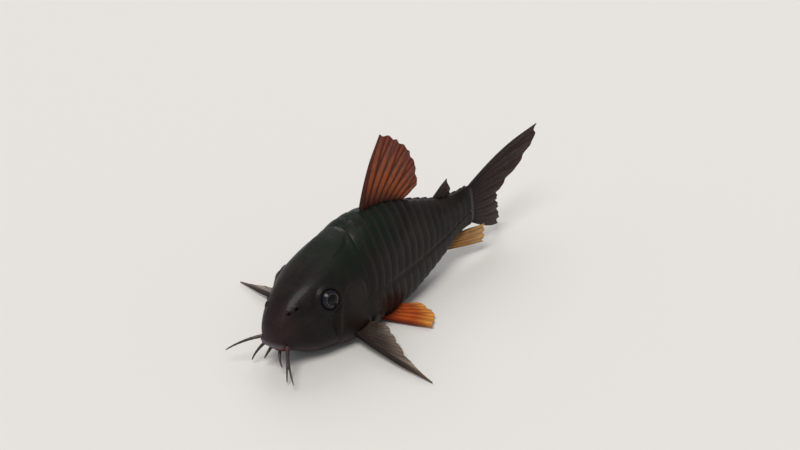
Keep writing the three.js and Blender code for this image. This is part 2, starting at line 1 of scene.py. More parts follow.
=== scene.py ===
"""The looks of a black corydoras catfish at rest: skin with its armour plates, eyes, fins and barbels.

Everything is in metres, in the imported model's own frame: the fish faces -X, its left side is -Y, and
it lies on the plane z = 0. Places along the body are shares of its length, and angles round the body
run from 0 at the back, by 90 degrees on the left side, to 180 at the belly and on up the right side.
"""
import logging
from dataclasses import dataclass, field
from enum import Enum

import bpy
import numpy as np
from mathutils import Matrix, Vector


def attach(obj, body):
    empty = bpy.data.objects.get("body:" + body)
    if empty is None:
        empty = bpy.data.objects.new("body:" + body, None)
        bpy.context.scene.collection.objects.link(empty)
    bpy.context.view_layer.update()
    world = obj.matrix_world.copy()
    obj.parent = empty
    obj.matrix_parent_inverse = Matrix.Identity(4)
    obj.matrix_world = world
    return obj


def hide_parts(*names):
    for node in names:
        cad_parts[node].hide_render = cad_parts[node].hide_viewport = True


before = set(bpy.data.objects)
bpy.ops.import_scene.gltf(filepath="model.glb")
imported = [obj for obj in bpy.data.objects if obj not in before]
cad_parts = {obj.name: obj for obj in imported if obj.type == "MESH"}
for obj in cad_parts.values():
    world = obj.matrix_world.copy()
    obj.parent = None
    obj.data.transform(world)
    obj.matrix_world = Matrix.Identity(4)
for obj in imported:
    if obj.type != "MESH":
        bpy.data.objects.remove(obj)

Array = np.ndarray
Colour = tuple[float, float, float]
Triple = tuple[float, float, float]
Pair = tuple[float, float]
Span = tuple[float, float]

LOG = logging.getLogger("corydoras")
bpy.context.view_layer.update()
BODY = "root"
MM = 0.001


class Side(Enum):
    """A side of the fish, with the sign of its y axis."""

    LEFT = "l"
    RIGHT = "r"

    @property
    def sign(self) -> float:
        """The sign of y on this side."""
        return -1.0 if self is Side.LEFT else 1.0

    @property
    def flip(self) -> Array:
        """What takes a point of the left side to this side, by multiplication."""
        return np.array([1.0, -self.sign, 1.0])

    def about(self, degrees: float) -> float:
        """The angle round the body, in degrees, of a left-side angle on this side."""
        return degrees if self is Side.LEFT else 360.0 - degrees


class Slot(Enum):
    """The record's material slots."""

    SKIN = "skin"
    BARBEL = "barbel"
    FIN_RED = "fin_red"
    FIN_ORANGE = "fin_orange"
    FIN_DARK = "fin_dark"
    EYE = "eye"


def smooth(value: Array | float, low: float, high: float) -> Array:
    """A soft step: 0 below low, 1 above high, and 3t^2 - 2t^3 of the share t between."""
    t = np.clip((np.asarray(value, dtype=float) - low) / (high - low), 0.0, 1.0)
    return t * t * (3.0 - 2.0 * t)


def bell(value: Array, centre: float | Array, width: float) -> Array:
    """A bell curve of height 1: e to the minus square of the distance from centre over width."""
    return np.exp(-(((value - centre) / width) ** 2))


def mix(start: Array | float, end: Array | float, share: Array | float) -> Array:
    """The value a share of the way from start to end."""
    return start + (end - start) * share


def window(value: Array, start: Span, stop: Span) -> Array:
    """A soft step up over start times a soft step down over stop."""
    return smooth(value, *start) * (1.0 - smooth(value, *stop))


def unit(vectors: Array) -> Array:
    """Vectors scaled to length 1 along their last axis."""
    return vectors / np.maximum(np.linalg.norm(vectors, axis=-1, keepdims=True), 1e-12)


def stack(x: Array | float, y: Array | float, z: Array | float) -> Array:
    """Points or vectors from their three parts, spread to one shape."""
    return np.stack(np.broadcast_arrays(x, y, z), axis=-1).astype(float)


def from_back(degrees: Array) -> Array:
    """Degrees from the back, the same on both sides, of angles round the body."""
    return 180.0 - np.abs(degrees - 180.0)


# Meshes from arrays


@dataclass
class Surface:
    """Vertices, faces and per-vertex numbers that make one mesh."""

    points: Array
    quads: Array
    triangles: Array = field(default_factory=lambda: np.empty((0, 3), dtype=int))
    marks: dict[str, Array] = field(default_factory=dict)

    def build(self, name: str) -> bpy.types.Object:
        """Makes the Blender object, smooth shaded, at the origin.

        Args:
            name: The piece's name.

        Returns:
            The new object, linked to the scene.
        """
        mesh = bpy.data.meshes.new(name)
        corners = np.concatenate([self.quads.ravel(), self.triangles.ravel()]).astype(np.int32)
        sizes = np.concatenate([np.full(len(self.quads), 4), np.full(len(self.triangles), 3)])
        starts = np.concatenate([[0], np.cumsum(sizes)[:-1]]).astype(np.int32)
        mesh.vertices.add(len(self.points))
        mesh.vertices.foreach_set("co", self.points.astype(np.float32).ravel())
        mesh.loops.add(len(corners))
        mesh.loops.foreach_set("vertex_index", corners)
        mesh.polygons.add(len(sizes))
        mesh.polygons.foreach_set("loop_start", starts)
        mesh.polygons.foreach_set("use_smooth", np.ones(len(sizes), dtype=bool))
        for mark, values in self.marks.items():
            layer = mesh.attributes.new(mark, "FLOAT", "POINT")
            layer.data.foreach_set("value", values.astype(np.float32).ravel())
        mesh.update(calc_edges=True)
        mesh.validate()
        piece = bpy.data.objects.new(name, mesh)
        bpy.context.scene.collection.objects.link(piece)
        return piece


def grid_faces(rows: int, columns: int, wrap: bool) -> Array:
    """The quads of a grid of vertices numbered row by row.

    Args:
        rows: Rows of vertices.
        columns: Vertices in a row.
        wrap: Whether each row closes on itself.

    Returns:
        Four vertex numbers for each quad, turned to face along row step cross column step.
    """
    r, c = np.meshgrid(np.arange(rows - 1), np.arange(columns if wrap else columns - 1), indexing="ij")
    after = (c + 1) % columns
    quads = [r * columns + c, (r + 1) * columns + c, (r + 1) * columns + after, r * columns + after]
    return np.stack([corner.ravel() for corner in quads], axis=-1)


def closed_tube(rings: Array, marks: dict[str, Array]) -> Surface:
    """A closed body from rings of points, each end closed by a fan about the ring's middle.

    Args:
        rings: Points by ring and by place in the ring.
        marks: Numbers for each ring point.

    Returns:
        The closed surface, its faces turned outwards.
    """
    count, size = rings.shape[:2]
    ends = np.stack([rings[0].mean(axis=0), rings[-1].mean(axis=0)])
    points = np.concatenate([rings.reshape(-1, 3), ends])
    quads = grid_faces(count, size, wrap=True)
    k = np.arange(size)
    after = (k + 1) % size
    first = np.stack([np.full(size, count * size), k, after], axis=-1)
    last_row = (count - 1) * size
    last = np.stack([np.full(size, count * size + 1), last_row + after, last_row + k], axis=-1)
    triangles = np.concatenate([first, last])
    full = {name: np.concatenate([v.ravel(), [v[0].mean(), v[-1].mean()]]) for name, v in marks.items()}
    return outward(Surface(points, quads, triangles, full))


def closed_sheet(front: Array, back: Array, marks: dict[str, Array]) -> Surface:
    """A thin closed body from two grids of points that face one another.

    Args:
        front: Points of one face, by row and column.
        back: The matching points of the other face.
        marks: Numbers for each grid point, the same on both faces.

    Returns:
        The closed surface, its faces turned outwards.
    """
    rows, columns = front.shape[:2]
    total = rows * columns
    face = grid_faces(rows, columns, wrap=False)
    number = np.arange(total).reshape(rows, columns)
    rim = np.concatenate([number[0, :-1], number[:-1, -1], number[-1, :0:-1], number[:0:-1, 0]])
    after = np.roll(rim, -1)
    strip = np.stack([rim, after, after + total, rim + total], axis=-1)
    quads = np.concatenate([face, face[:, ::-1] + total, strip])
    points = np.concatenate([front.reshape(-1, 3), back.reshape(-1, 3)])
    return outward(Surface(points, quads, marks={k: np.tile(v.ravel(), 2) for k, v in marks.items()}))


def outward(surface: Surface) -> Surface:
    """Turns every face round where the closed surface's signed volume is negative.

    Args:
        surface: A closed surface with all faces turned alike.

    Returns:
        The surface with its faces outwards.
    """
    quads, triangles = surface.quads, surface.triangles
    split = np.concatenate([quads[:, [0, 1, 2]], quads[:, [0, 2, 3]], triangles])
    a, b, c = (surface.points[split[:, i]] for i in range(3))
    if np.einsum("ij,ij->i", a, np.cross(b, c)).sum() < 0.0:
        surface.quads = quads[:, ::-1]
        surface.triangles = triangles[:, ::-1]
    return surface


# Shader maths


class Shade:
    """A socket's value that takes part in Python arithmetic, each step adding its Math node."""

    def __init__(self, graph: "Graph", socket: bpy.types.NodeSocket) -> None:
        """Keeps the graph and the socket."""
        self.graph = graph
        self.socket = socket

    def _math(self, operation: str, first: "Shade | float", second: "Shade | float") -> "Shade":
        """The result of a Math node on two values or links."""
        return self.graph.add("ShaderNodeMath", {"operation": operation}, {0: first, 1: second})

    def __add__(self, other: "Shade | float") -> "Shade":
        """The sum."""
        return self._math("ADD", self, other)

    def __radd__(self, other: float) -> "Shade":
        """The sum, from a number on the left."""
        return self._math("ADD", other, self)

    def __sub__(self, other: "Shade | float") -> "Shade":
        """The difference."""
        return self._math("SUBTRACT", self, other)

    def __rsub__(self, other: float) -> "Shade":
        """The difference, from a number on the left."""
        return self._math("SUBTRACT", other, self)

    def __mul__(self, other: "Shade | float") -> "Shade":
        """The product."""
        return self._math("MULTIPLY", self, other)

    def __rmul__(self, other: float) -> "Shade":
        """The product, from a number on the left."""
        return self._math("MULTIPLY", other, self)

    def step(self, low: float, high: float) -> "Shade":
        """A soft step from 0 at low to 1 at high."""
        settings = {"interpolation_type": "SMOOTHSTEP"}
        return self.graph.add("ShaderNodeMapRange", settings, {0: self, 1: low, 2: high, 3: 0.0, 4: 1.0})


class Graph:
    """A material's node tree, filled by plain calls."""

    def __init__(self, name: str) -> None:
        """Starts an empty material.

        Args:
            name: The material's name.
        """
        self.material = bpy.data.materials.new(name)
        self.material.use_nodes = True
        self.tree = self.material.node_tree
        self.tree.nodes.clear()

    def add(
        self,
        kind: str,
        settings: dict[str, object] | None = None,
        inputs: dict[int | str, object] | None = None,
        output: int | str = 0,
    ) -> Shade:
        """Adds a node of any kind.

        Args:
            kind: The node's type.
            settings: Its properties, set before its sockets are filled.
            inputs: A value or a link for each socket, by name or number.
            output: The socket that is handed on, by name or number.

        Returns:
            The chosen output.
        """
        node = self.tree.nodes.new(kind)
        for name, value in (settings or {}).items():
            setattr(node, name, value)
        for key, value in (inputs or {}).items():
            if isinstance(value, Shade):
                self.tree.links.new(value.socket, node.inputs[key])
            else:
                node.inputs[key].default_value = value
        return Shade(self, node.outputs[output])

    def mark(self, name: str) -> Shade:
        """The mesh's own number of that name."""
        return self.add("ShaderNodeAttribute", {"attribute_name": name}, output="Fac")

    def place(self) -> Shade:
        """Object coordinates."""
        return self.add("ShaderNodeTexCoord", output="Object")

    def noise(self, scale: float, detail: float = 3.0, roughness: float = 0.55) -> Shade:
        """Cloudy noise about 0.5, so many waves in a metre, with octaves and the finer ones' weight."""
        inputs = {"Vector": self.place(), "Scale": scale, "Detail": detail, "Roughness": roughness}
        return self.add("ShaderNodeTexNoise", None, inputs)

    def cells(self, scale: float) -> Shade:
        """Distances, in cells, from the middles of random cells, so many in a metre."""
        inputs = {"Vector": self.place(), "Scale": scale}
        return self.add("ShaderNodeTexVoronoi", None, inputs, output="Distance")

    def blend(self, share: Shade | float, first: Shade | Colour, second: Shade | Colour) -> Shade:
        """A colour between two.

        Args:
            share: How far towards the second colour.
            first: The first colour.
            second: The second colour.

        Returns:
            The mixed colour.
        """
        colours = [c if isinstance(c, Shade) else (*c, 1.0) for c in (first, second)]
        inputs = {0: share, 6: colours[0], 7: colours[1]}
        return self.add("ShaderNodeMix", {"data_type": "RGBA", "clamp_factor": True}, inputs, output=2)

    def bump(self, height: Shade, distance: float, strength: float) -> Shade:
        """A normal bent by a height, of which 1 stands out by the distance in metres."""
        inputs = {"Height": height, "Distance": distance, "Strength": strength}
        return self.add("ShaderNodeBump", None, inputs)

    def finish(self, inputs: dict[str, object]) -> bpy.types.Material:
        """Ends the tree in a Principled shader.

        Args:
            inputs: Its sockets' values or links.

        Returns:
            The material.
        """
        shader = self.add("ShaderNodeBsdfPrincipled", None, inputs)
        output = self.tree.nodes.new("ShaderNodeOutputMaterial")
        self.tree.links.new(shader.socket, output.inputs["Surface"])
        return self.material


# Finishes
# A scale is in waves or cells to the metre, and a span says where a soft step starts and ends.


@dataclass(frozen=True)
class Tint:
    """A colour that the skin takes where one of its marks says so."""

    mark: str
    colour: Colour
    least: float
    gain: float

    def over(self, under: Shade, noise: Shade) -> Shade:
        """Lays the colour over another, by a share of the mark times (least + gain * noise)."""
        share = under.graph.mark(self.mark) * (self.least + self.gain * noise)
        return under.graph.blend(share, under, self.colour)


@dataclass(frozen=True)
class SkinFinish:
    """Moist skin over bony plates: near black, with brown, a painted green sheen, and purple that is
    painted bounce light on the lower cheek and a tint on the snout.
    """

    base: Colour = (0.0046, 0.0036, 0.003)
    brown: Colour = (0.0135, 0.008, 0.0052)
    brown_span: Span = (0.42, 0.66)
    # Painted green sheen on the shoulders.
    green: Tint = Tint("green", (0.0036, 0.0094, 0.0038), 0.35, 1.0)
    belly: Tint = Tint("belly", (0.036, 0.028, 0.022), 0.25, 0.5)
    edge: Tint = Tint("edge", (0.022, 0.0165, 0.0125), 0.15, 0.75)
    # Purple: painted bounce light along the lower cheek rim, and a tint on the snout.
    purple: Tint = Tint("purple", (0.036, 0.0125, 0.0165), 0.3, 0.7)
    lip: Tint = Tint("lip", (0.14, 0.13, 0.15), 0.25, 0.9)
    flesh: Tint = Tint("flesh", (0.4, 0.085, 0.07), 1.0, 0.0)
    cloud_scale: float = 260.0
    cloud_detail: float = 4.0
    fine_scale: float = 2200.0
    fine_weight: float = 0.65
    grain_scale: float = 3600.0
    speck_core: Span = (0.42, 0.12)
    speck_patch: Span = (0.45, 0.62)
    speck_share: float = 0.35
    pore: Span = (0.05, 0.6)
    pore_depth: float = 0.62
    fine_height: float = 0.6
    cloud_height: float = 0.5
    relief: float = 0.045 * MM
    relief_share: float = 0.75
    roughness: float = 0.34
    fine_roughness: float = 0.2
    cloud_roughness: float = 0.06
    specular: float = 0.14
    coat: float = 0.09
    coat_roughness: float = 0.16

    def material(self) -> bpy.types.Material:
        """Builds the skin's material.

        Returns:
            A dark satin material, mottled, with fine grain on the plates.
        """
        g = Graph("skin")
        cloud = g.noise(self.cloud_scale, detail=self.cloud_detail)
        fine = g.noise(self.fine_scale, roughness=self.fine_weight)
        grain = g.cells(self.grain_scale)
        colour = g.blend(cloud.step(*self.brown_span), self.base, self.brown)
        colour = self.green.over(colour, fine)
        colour = self.belly.over(colour, cloud)
        for tint in (self.edge, self.purple, self.lip, self.flesh):
            colour = tint.over(colour, fine)
        speck = grain.step(*self.speck_core) * fine.step(*self.speck_patch)
        colour = g.blend(speck * self.speck_share, colour, self.edge.colour)
        height = self.fine_height * fine + self.cloud_height * cloud
        height = height - self.pore_depth * grain.step(*self.pore)
        return g.finish(
            {
                "Base Color": colour,
                "Roughness": self.roughness + self.fine_roughness * fine + self.cloud_roughness * cloud,
                "Specular IOR Level": self.specular,
                "Coat Weight": self.coat,
                "Coat Roughness": self.coat_roughness,
                "Normal": g.bump(height, self.relief, self.relief_share),
            }
        )


@dataclass(frozen=True)
class FinFinish:
    """A thin moist membrane on darker rays, its colour running from root to edge."""

    name: str
    root: Colour
    middle: Colour
    rim: Colour
    ray: Colour
    ray_share: float
    clear: float
    roughness: float = 0.42
    fine_roughness: float = 0.12
    cloud_scale: float = 700.0
    fine_scale: float = 5200.0
    fine_detail: float = 2.0
    middle_span: Span = (0.02, 0.45)
    rim_span: Span = (0.6, 1.0)
    rim_stray: float = 0.25
    rim_shift: float = 0.12
    ray_span: Span = (0.1, 0.6)
    ray_fade: float = 0.3
    ray_fade_span: Span = (0.5, 1.0)
    joints_per_mm: float = 6.0
    joint_waver: float = 1.2
    joint_least: float = 0.8
    joint_gain: float = 0.3
    blotch_span: Span = (0.5, 0.75)
    blotch_share: float = 0.3
    ray_cover: float = 0.8
    clear_span: Span = (0.08, 0.75)
    clear_least: float = 0.6
    clear_gain: float = 0.6
    specular: float = 0.15
    glow: float = 0.12
    glow_radius: Triple = (0.6 * MM, 0.25 * MM, 0.12 * MM)
    grain: float = 0.03 * MM
    grain_share: float = 0.7
    fine_height: float = 0.5
    joint_height: float = 0.6

    def material(self) -> bpy.types.Material:
        """Builds the fin's material.

        Returns:
            A satin material that is clearer between the rays.
        """
        g = Graph(self.name)
        out = g.mark("out")
        ray = g.mark("ray")
        cloud = g.noise(self.cloud_scale)
        fine = g.noise(self.fine_scale, detail=self.fine_detail)
        joints = self.joints(g)
        colour = g.blend(out.step(*self.middle_span), self.root, self.middle)
        strayed = out + self.rim_stray * cloud - self.rim_shift
        colour = g.blend(strayed.step(*self.rim_span), colour, self.rim)
        darkness = self.ray_share - self.ray_fade * out.step(*self.ray_fade_span)
        darkness = darkness * (self.joint_least + self.joint_gain * joints)
        colour = g.blend(ray.step(*self.ray_span) * darkness, colour, self.ray)
        colour = g.blend(cloud.step(*self.blotch_span) * self.blotch_share, colour, self.root)
        clear = (1.0 - ray * self.ray_cover) * out.step(*self.clear_span) * self.clear
        clear = clear * (self.clear_least + self.clear_gain * cloud)
        height = self.fine_height * fine + self.joint_height * ray * joints
        return g.finish(
            {
                "Base Color": colour,
                "Roughness": self.roughness + self.fine_roughness * fine,
                "Specular IOR Level": self.specular,
                "Alpha": 1.0 - clear,
                "Subsurface Weight": self.glow,
                "Subsurface Radius": self.glow_radius,
                "Subsurface Scale": 1.0,
                "Normal": g.bump(height, self.grain, self.grain_share),
            }
        )

    def joints(self, g: Graph) -> Shade:
        """Bands across the rays, one for each joint.

        Args:
            g: The material's graph.

        Returns:
            Values from 0 to 1 along the ray.
        """
        lie = g.add("ShaderNodeCombineXYZ", None, {0: g.mark("run"), 1: g.mark("share")})
        inputs = {"Vector": lie, "Scale": self.joints_per_mm, "Distortion": self.joint_waver}
        return g.add("ShaderNodeTexWave", {"bands_direction": "X"}, inputs)


RED_FIN = FinFinish(
    name="fin_red",
    root=(0.045, 0.009, 0.005),
    middle=(0.31, 0.067, 0.013),
    rim=(0.18, 0.028, 0.009),
    ray=(0.036, 0.006, 0.0035),
    ray_share=0.92,
    clear=0.18,
)
ORANGE_FIN = FinFinish(
    name="fin_orange",
    root=(0.1, 0.012, 0.008),
    middle=(0.52, 0.1, 0.014),
    rim=(0.8, 0.34, 0.05),
    ray=(0.2, 0.02, 0.006),
    ray_share=0.8,
    clear=0.3,
)
YELLOW_FIN = FinFinish(
    name="fin_yellow",
    root=(0.1, 0.04, 0.015),
    middle=(0.45, 0.22, 0.05),
    rim=(0.62, 0.36, 0.1),
    ray=(0.16, 0.05, 0.012),
    ray_share=0.6,
    clear=0.4,
)
TAIL_FIN = FinFinish(
    name="fin_tail",
    root=(0.016, 0.01, 0.01),
    middle=(0.03, 0.016, 0.014),
    rim=(0.045, 0.022, 0.019),
    ray=(0.013, 0.008, 0.008),
    ray_share=0.6,
    clear=0.12,
    roughness=0.52,
)
SMOKE_FIN = FinFinish(
    name="fin_smoke",
    root=(0.014, 0.01, 0.009),
    middle=(0.045, 0.028, 0.018),
    rim=(0.18, 0.12, 0.075),
    ray=(0.02, 0.012, 0.011),
    ray_share=0.75,
    clear=0.5,
)
FIN_FINISHES = (RED_FIN, ORANGE_FIN, YELLOW_FIN, TAIL_FIN, SMOKE_FIN)


@dataclass(frozen=True)
class BarbelFinish:
    """Soft dark feelers, pinkish where they leave the mouth and paler at the tips."""

    root: Colour = (0.085, 0.03, 0.034)
    middle: Colour = (0.022, 0.014, 0.014)
    tip: Colour = (0.075, 0.047, 0.04)
    middle_span: Span = (0.02, 0.3)
    tip_span: Span = (0.7, 1.0)
    tip_least: float = 0.4
    fine_scale: float = 3400.0
    roughness: float = 0.4
    fine_roughness: float = 0.14
    coat: float = 0.12
    coat_roughness: float = 0.25
    glow: float = 0.1
    glow_radius: Triple = (0.5 * MM, 0.2 * MM, 0.15 * MM)
    grain: float = 0.04 * MM
    grain_share: float = 0.7

    def material(self) -> bpy.types.Material:
        """Builds the barbels' material.

        Returns:
            A moist, finely wrinkled material.
        """
        g = Graph("barbel")
        out = g.mark("out")
        fine = g.noise(self.fine_scale)
        colour = g.blend(out.step(*self.middle_span), self.root, self.middle)
        colour = g.blend(out.step(*self.tip_span) * (self.tip_least + fine), colour, self.tip)
        return g.finish(
            {
                "Base Color": colour,
                "Roughness": self.roughness + self.fine_roughness * fine,
                "Coat Weight": self.coat,
                "Coat Roughness": self.coat_roughness,
                "Subsurface Weight": self.glow,
                "Subsurface Radius": self.glow_radius,
                "Subsurface Scale": 1.0,
                "Normal": g.bump(fine, self.grain, self.grain_share),
            }
        )


@dataclass(frozen=True)
class EyeFinish:
    """A dark wet eye: black pupil, thin bronze ring and blue-black iris.

    The spans are in degrees from the eye's own axis.
    """

    pupil: Colour = (0.0015, 0.0015, 0.002)
    ring: Colour = (0.07, 0.048, 0.028)
    iris: Colour = (0.0045, 0.006, 0.0115)
    fleck: Colour = (0.0105, 0.0115, 0.0165)
    pupil_edge: Span = (26.5, 28.5)
    ring_inner_edge: Span = (28.0, 29.5)
    ring_outer_edge: Span = (30.0, 35.0)
    iris_edge: Span = (48.0, 60.0)
    fleck_scale: float = 2600.0
    fleck_span: Span = (0.5, 0.72)
    streak_scale: float = 900.0
    streak_detail: float = 2.0
    ring_least: float = 0.35
    ring_gain: float = 0.9
    roughness: float = 0.25
    specular: float = 0.12
    coat: float = 0.22
    coat_roughness: float = 0.05

    def material(self) -> bpy.types.Material:
        """Builds the eye's material.

        Returns:
            A glossy material painted by the angle from the eye's own axis.
        """
        g = Graph("eye")
        turn = g.mark("turn")
        streak = g.noise(self.streak_scale, detail=self.streak_detail)
        colour = g.blend(g.noise(self.fleck_scale).step(*self.fleck_span), self.iris, self.fleck)
        colour = g.blend(turn.step(*self.iris_edge), colour, self.pupil)
        ring = turn.step(*self.ring_inner_edge) * (1.0 - turn.step(*self.ring_outer_edge))
        colour = g.blend(ring * (self.ring_least + self.ring_gain * streak), colour, self.ring)
        colour = g.blend(turn.step(*self.pupil_edge), self.pupil, colour)
        return g.finish(
            {
                "Base Color": colour,
                "Roughness": self.roughness,
                "Specular IOR Level": self.specular,
                "Coat Weight": self.coat,
                "Coat Roughness": self.coat_roughness,
            }
        )


@dataclass(frozen=True)
class FloorFinish:
    """A plain pale floor."""

    colour: Colour = (0.72, 0.705, 0.68)
    roughness: float = 0.8
    specular: float = 0.2

    def material(self) -> bpy.types.Material:
        """Builds the floor's material, matt and in one pale colour."""
        inputs = {"Base Color": (*self.colour, 1.0), "Roughness": self.roughness}
        return Graph("floor").finish({**inputs, "Specular IOR Level": self.specular})


# The body's form


class Profile:
    """A smooth curve through (place, value) pairs, with no overshoot.

    It is a cubic curve with a set slope at each pair, over the square root of the distance from the
    snout, so that the snout closes as a round dome. Each inner slope is the harmonic mean of the
    slopes on either side, or 0 where they differ in sign.
    """

    def __init__(self, snout: float, pairs: tuple[Pair, ...]) -> None:
        """Works out the curve's slopes.

        Args:
            snout: The place of the snout's tip.
            pairs: Places and values, in order.
        """
        places, self.values = (np.array(column) for column in zip(*pairs))
        self.snout = snout
        self.low, self.high = places[0], places[-1]
        self.at = np.sqrt(places - snout)
        rates = np.diff(self.values) / np.diff(self.at)
        before, after = rates[:-1], rates[1:]
        same = before * after > 0.0
        inner = np.where(same, 2.0 * before * after / np.where(same, before + after, 1.0), 0.0)
        self.slopes = np.concatenate([rates[:1], inner, rates[-1:]])

    def __call__(self, place: Array) -> Array:
        """The curve's value at each place.

        Args:
            place: Shares of the body's length.

        Returns:
            The values there.
        """
        x = np.sqrt(np.clip(place, self.low, self.high) - self.snout)
        i = np.clip(np.searchsorted(self.at, x, side="right") - 1, 0, len(self.at) - 2)
        width = self.at[i + 1] - self.at[i]
        t = (x - self.at[i]) / width
        t2, t3 = t * t, t * t * t
        return (
            (2 * t3 - 3 * t2 + 1) * self.values[i]
            + (t3 - 2 * t2 + t) * width * self.slopes[i]
            + (3 * t2 - 2 * t3) * self.values[i + 1]
            + (t3 - t2) * width * self.slopes[i + 1]
        )


@dataclass(frozen=True)
class BodyForm:
    """The bare body's shape, the same that the solids have.

    Places, heights and widths are shares of its length. The pairs give the height of the back and the
    belly, and the half width, at places along the body.
    """

    length: float = 50.0 * MM
    snout: float = 0.025
    origin: float = 0.4
    head_end: float = 0.362
    trunk_end: float = 0.742
    plates_end: float = 0.985
    end: float = 1.022
    widest_share: float = 0.42
    head_roundness: float = 2.5
    back_roundness: float = 2.05
    belly_roundness: float = 2.7
    roundness_span: Span = (0.2, 0.42)
    plate_slant: float = 0.024
    plate_bulge: float = 0.006
    slant_start: float = 0.24
    slant_stop: Span = (0.93, 1.0)
    wedge_taper: float = 0.25
    wedge_least: float = 0.02
    wedge_power: float = 0.22
    head_turn: float = 1.0 * MM
    back_pairs: tuple[Pair, ...] = (
        (0.0255, 0.118),
        (0.036, 0.158),
        (0.06, 0.196),
        (0.1, 0.235),
        (0.16, 0.272),
        (0.24, 0.308),
        (0.34, 0.342),
        (0.47, 0.373),
        (0.56, 0.367),
        (0.67, 0.337),
        (0.78, 0.297),
        (0.88, 0.262),
        (0.95, 0.258),
        (1.02, 0.262),
    )
    belly_pairs: tuple[Pair, ...] = (
        (0.0255, 0.108),
        (0.036, 0.09),
        (0.06, 0.071),
        (0.1, 0.047),
        (0.16, 0.016),
        (0.24, -0.001),
        (0.3, -0.008),
        (0.5, -0.008),
        (0.6, -0.002),
        (0.7, 0.024),
        (0.8, 0.058),
        (0.9, 0.098),
        (0.96, 0.11),
        (1.02, 0.108),
    )
    width_pairs: tuple[Pair, ...] = (
        (0.0255, 0.008),
        (0.036, 0.041),
        (0.06, 0.061),
        (0.1, 0.082),
        (0.16, 0.107),
        (0.24, 0.128),
        (0.32, 0.138),
        (0.4, 0.134),
        (0.5, 0.118),
        (0.6, 0.1),
        (0.7, 0.08),
        (0.8, 0.059),
        (0.9, 0.038),
        (0.97, 0.024),
        (1.02, 0.018),
    )

    def profiles(self) -> tuple[Profile, Profile, Profile]:
        """The back, the belly and the half width along the body, as shares of its length."""
        pairs = (self.back_pairs, self.belly_pairs, self.width_pairs)
        return tuple(Profile(self.snout, rows) for rows in pairs)

    def x_of(self, place: Array | float) -> Array:
        """The x of a place along the body, in metres."""
        return (place - self.origin) * self.length

    def turned(self, place: Array | float) -> Array:
        """How far the head's middle plane lies to the side: the square of the way to the snout."""
        way = (self.head_end - np.asarray(place)) / (self.head_end - self.snout)
        return -self.head_turn * np.clip(way, 0.0, 1.0) ** 2

    def at(self, along: Array | float, out: Array | float, up: Array | float) -> Array:
        """Points in metres from shares of the length: along the body, out to the left, and up."""
        return stack(self.x_of(along), -np.asarray(out) * self.length, np.asarray(up) * self.length)

    def point(self, place: Array, degrees: Array) -> Array:
        """Points of the bare skin.

        Each section is an upper and a lower half superellipse about its widest height. A ring lies
        further back away from the side's middle line, as the plates' edges do, and the last stretch
        closes to a wedge that the tail fin grows from.

        Args:
            place: Shares of the body's length.
            degrees: Angles round the body.

        Returns:
            Points in metres, one for each pair of place and angle.
        """
        back, belly, width = self.profiles()
        turn = np.radians(degrees)
        c, s = np.cos(turn), np.sin(turn)
        height = np.abs(c)
        slant = self.plate_slant * height + self.plate_bulge * np.sin(2.0 * np.pi * height)
        along = place + slant * window(place, (self.slant_start, self.head_end), self.slant_stop)
        closing = np.clip((place - self.plates_end) / (self.end - self.plates_end), 0.0, 1.0)
        narrowing = np.sqrt(1.0 - closing**2) * (1.0 - self.wedge_taper * closing)
        narrowing = np.maximum(narrowing, self.wedge_least)
        top, bottom = back(along) * self.length, belly(along) * self.length
        middle = mix(bottom, top, self.widest_share)
        rise = np.where(c > 0.0, top - middle, middle - bottom) * narrowing**self.wedge_power
        upper = mix(self.head_roundness, self.back_roundness, smooth(along, *self.roundness_span))
        power = 2.0 / np.where(c > 0.0, upper, self.belly_roundness)
        half = width(along) * self.length * narrowing
        y = -half * np.sign(s) * np.abs(s) ** power
        z = middle + rise * np.sign(c) * height**power
        return stack(self.x_of(along), y + self.turned(along), np.maximum(z, 0.0))

    def outwards(self, place: float, degrees: float) -> Array:
        """The unit normal of the bare skin at one spot, from small steps either way.

        Args:
            place: A share of the body's length.
            degrees: An angle round the body.

        Returns:
            The normal, pointing out.
        """
        step_place, step_angle = 0.002, 0.5
        along = self.point(np.array(place + step_place), np.array(degrees))
        along = along - self.point(np.array(place - step_place), np.array(degrees))
        around = self.point(np.array(place), np.array(degrees + step_angle))
        around = around - self.point(np.array(place), np.array(degrees - step_angle))
        return unit(np.cross(around, along))


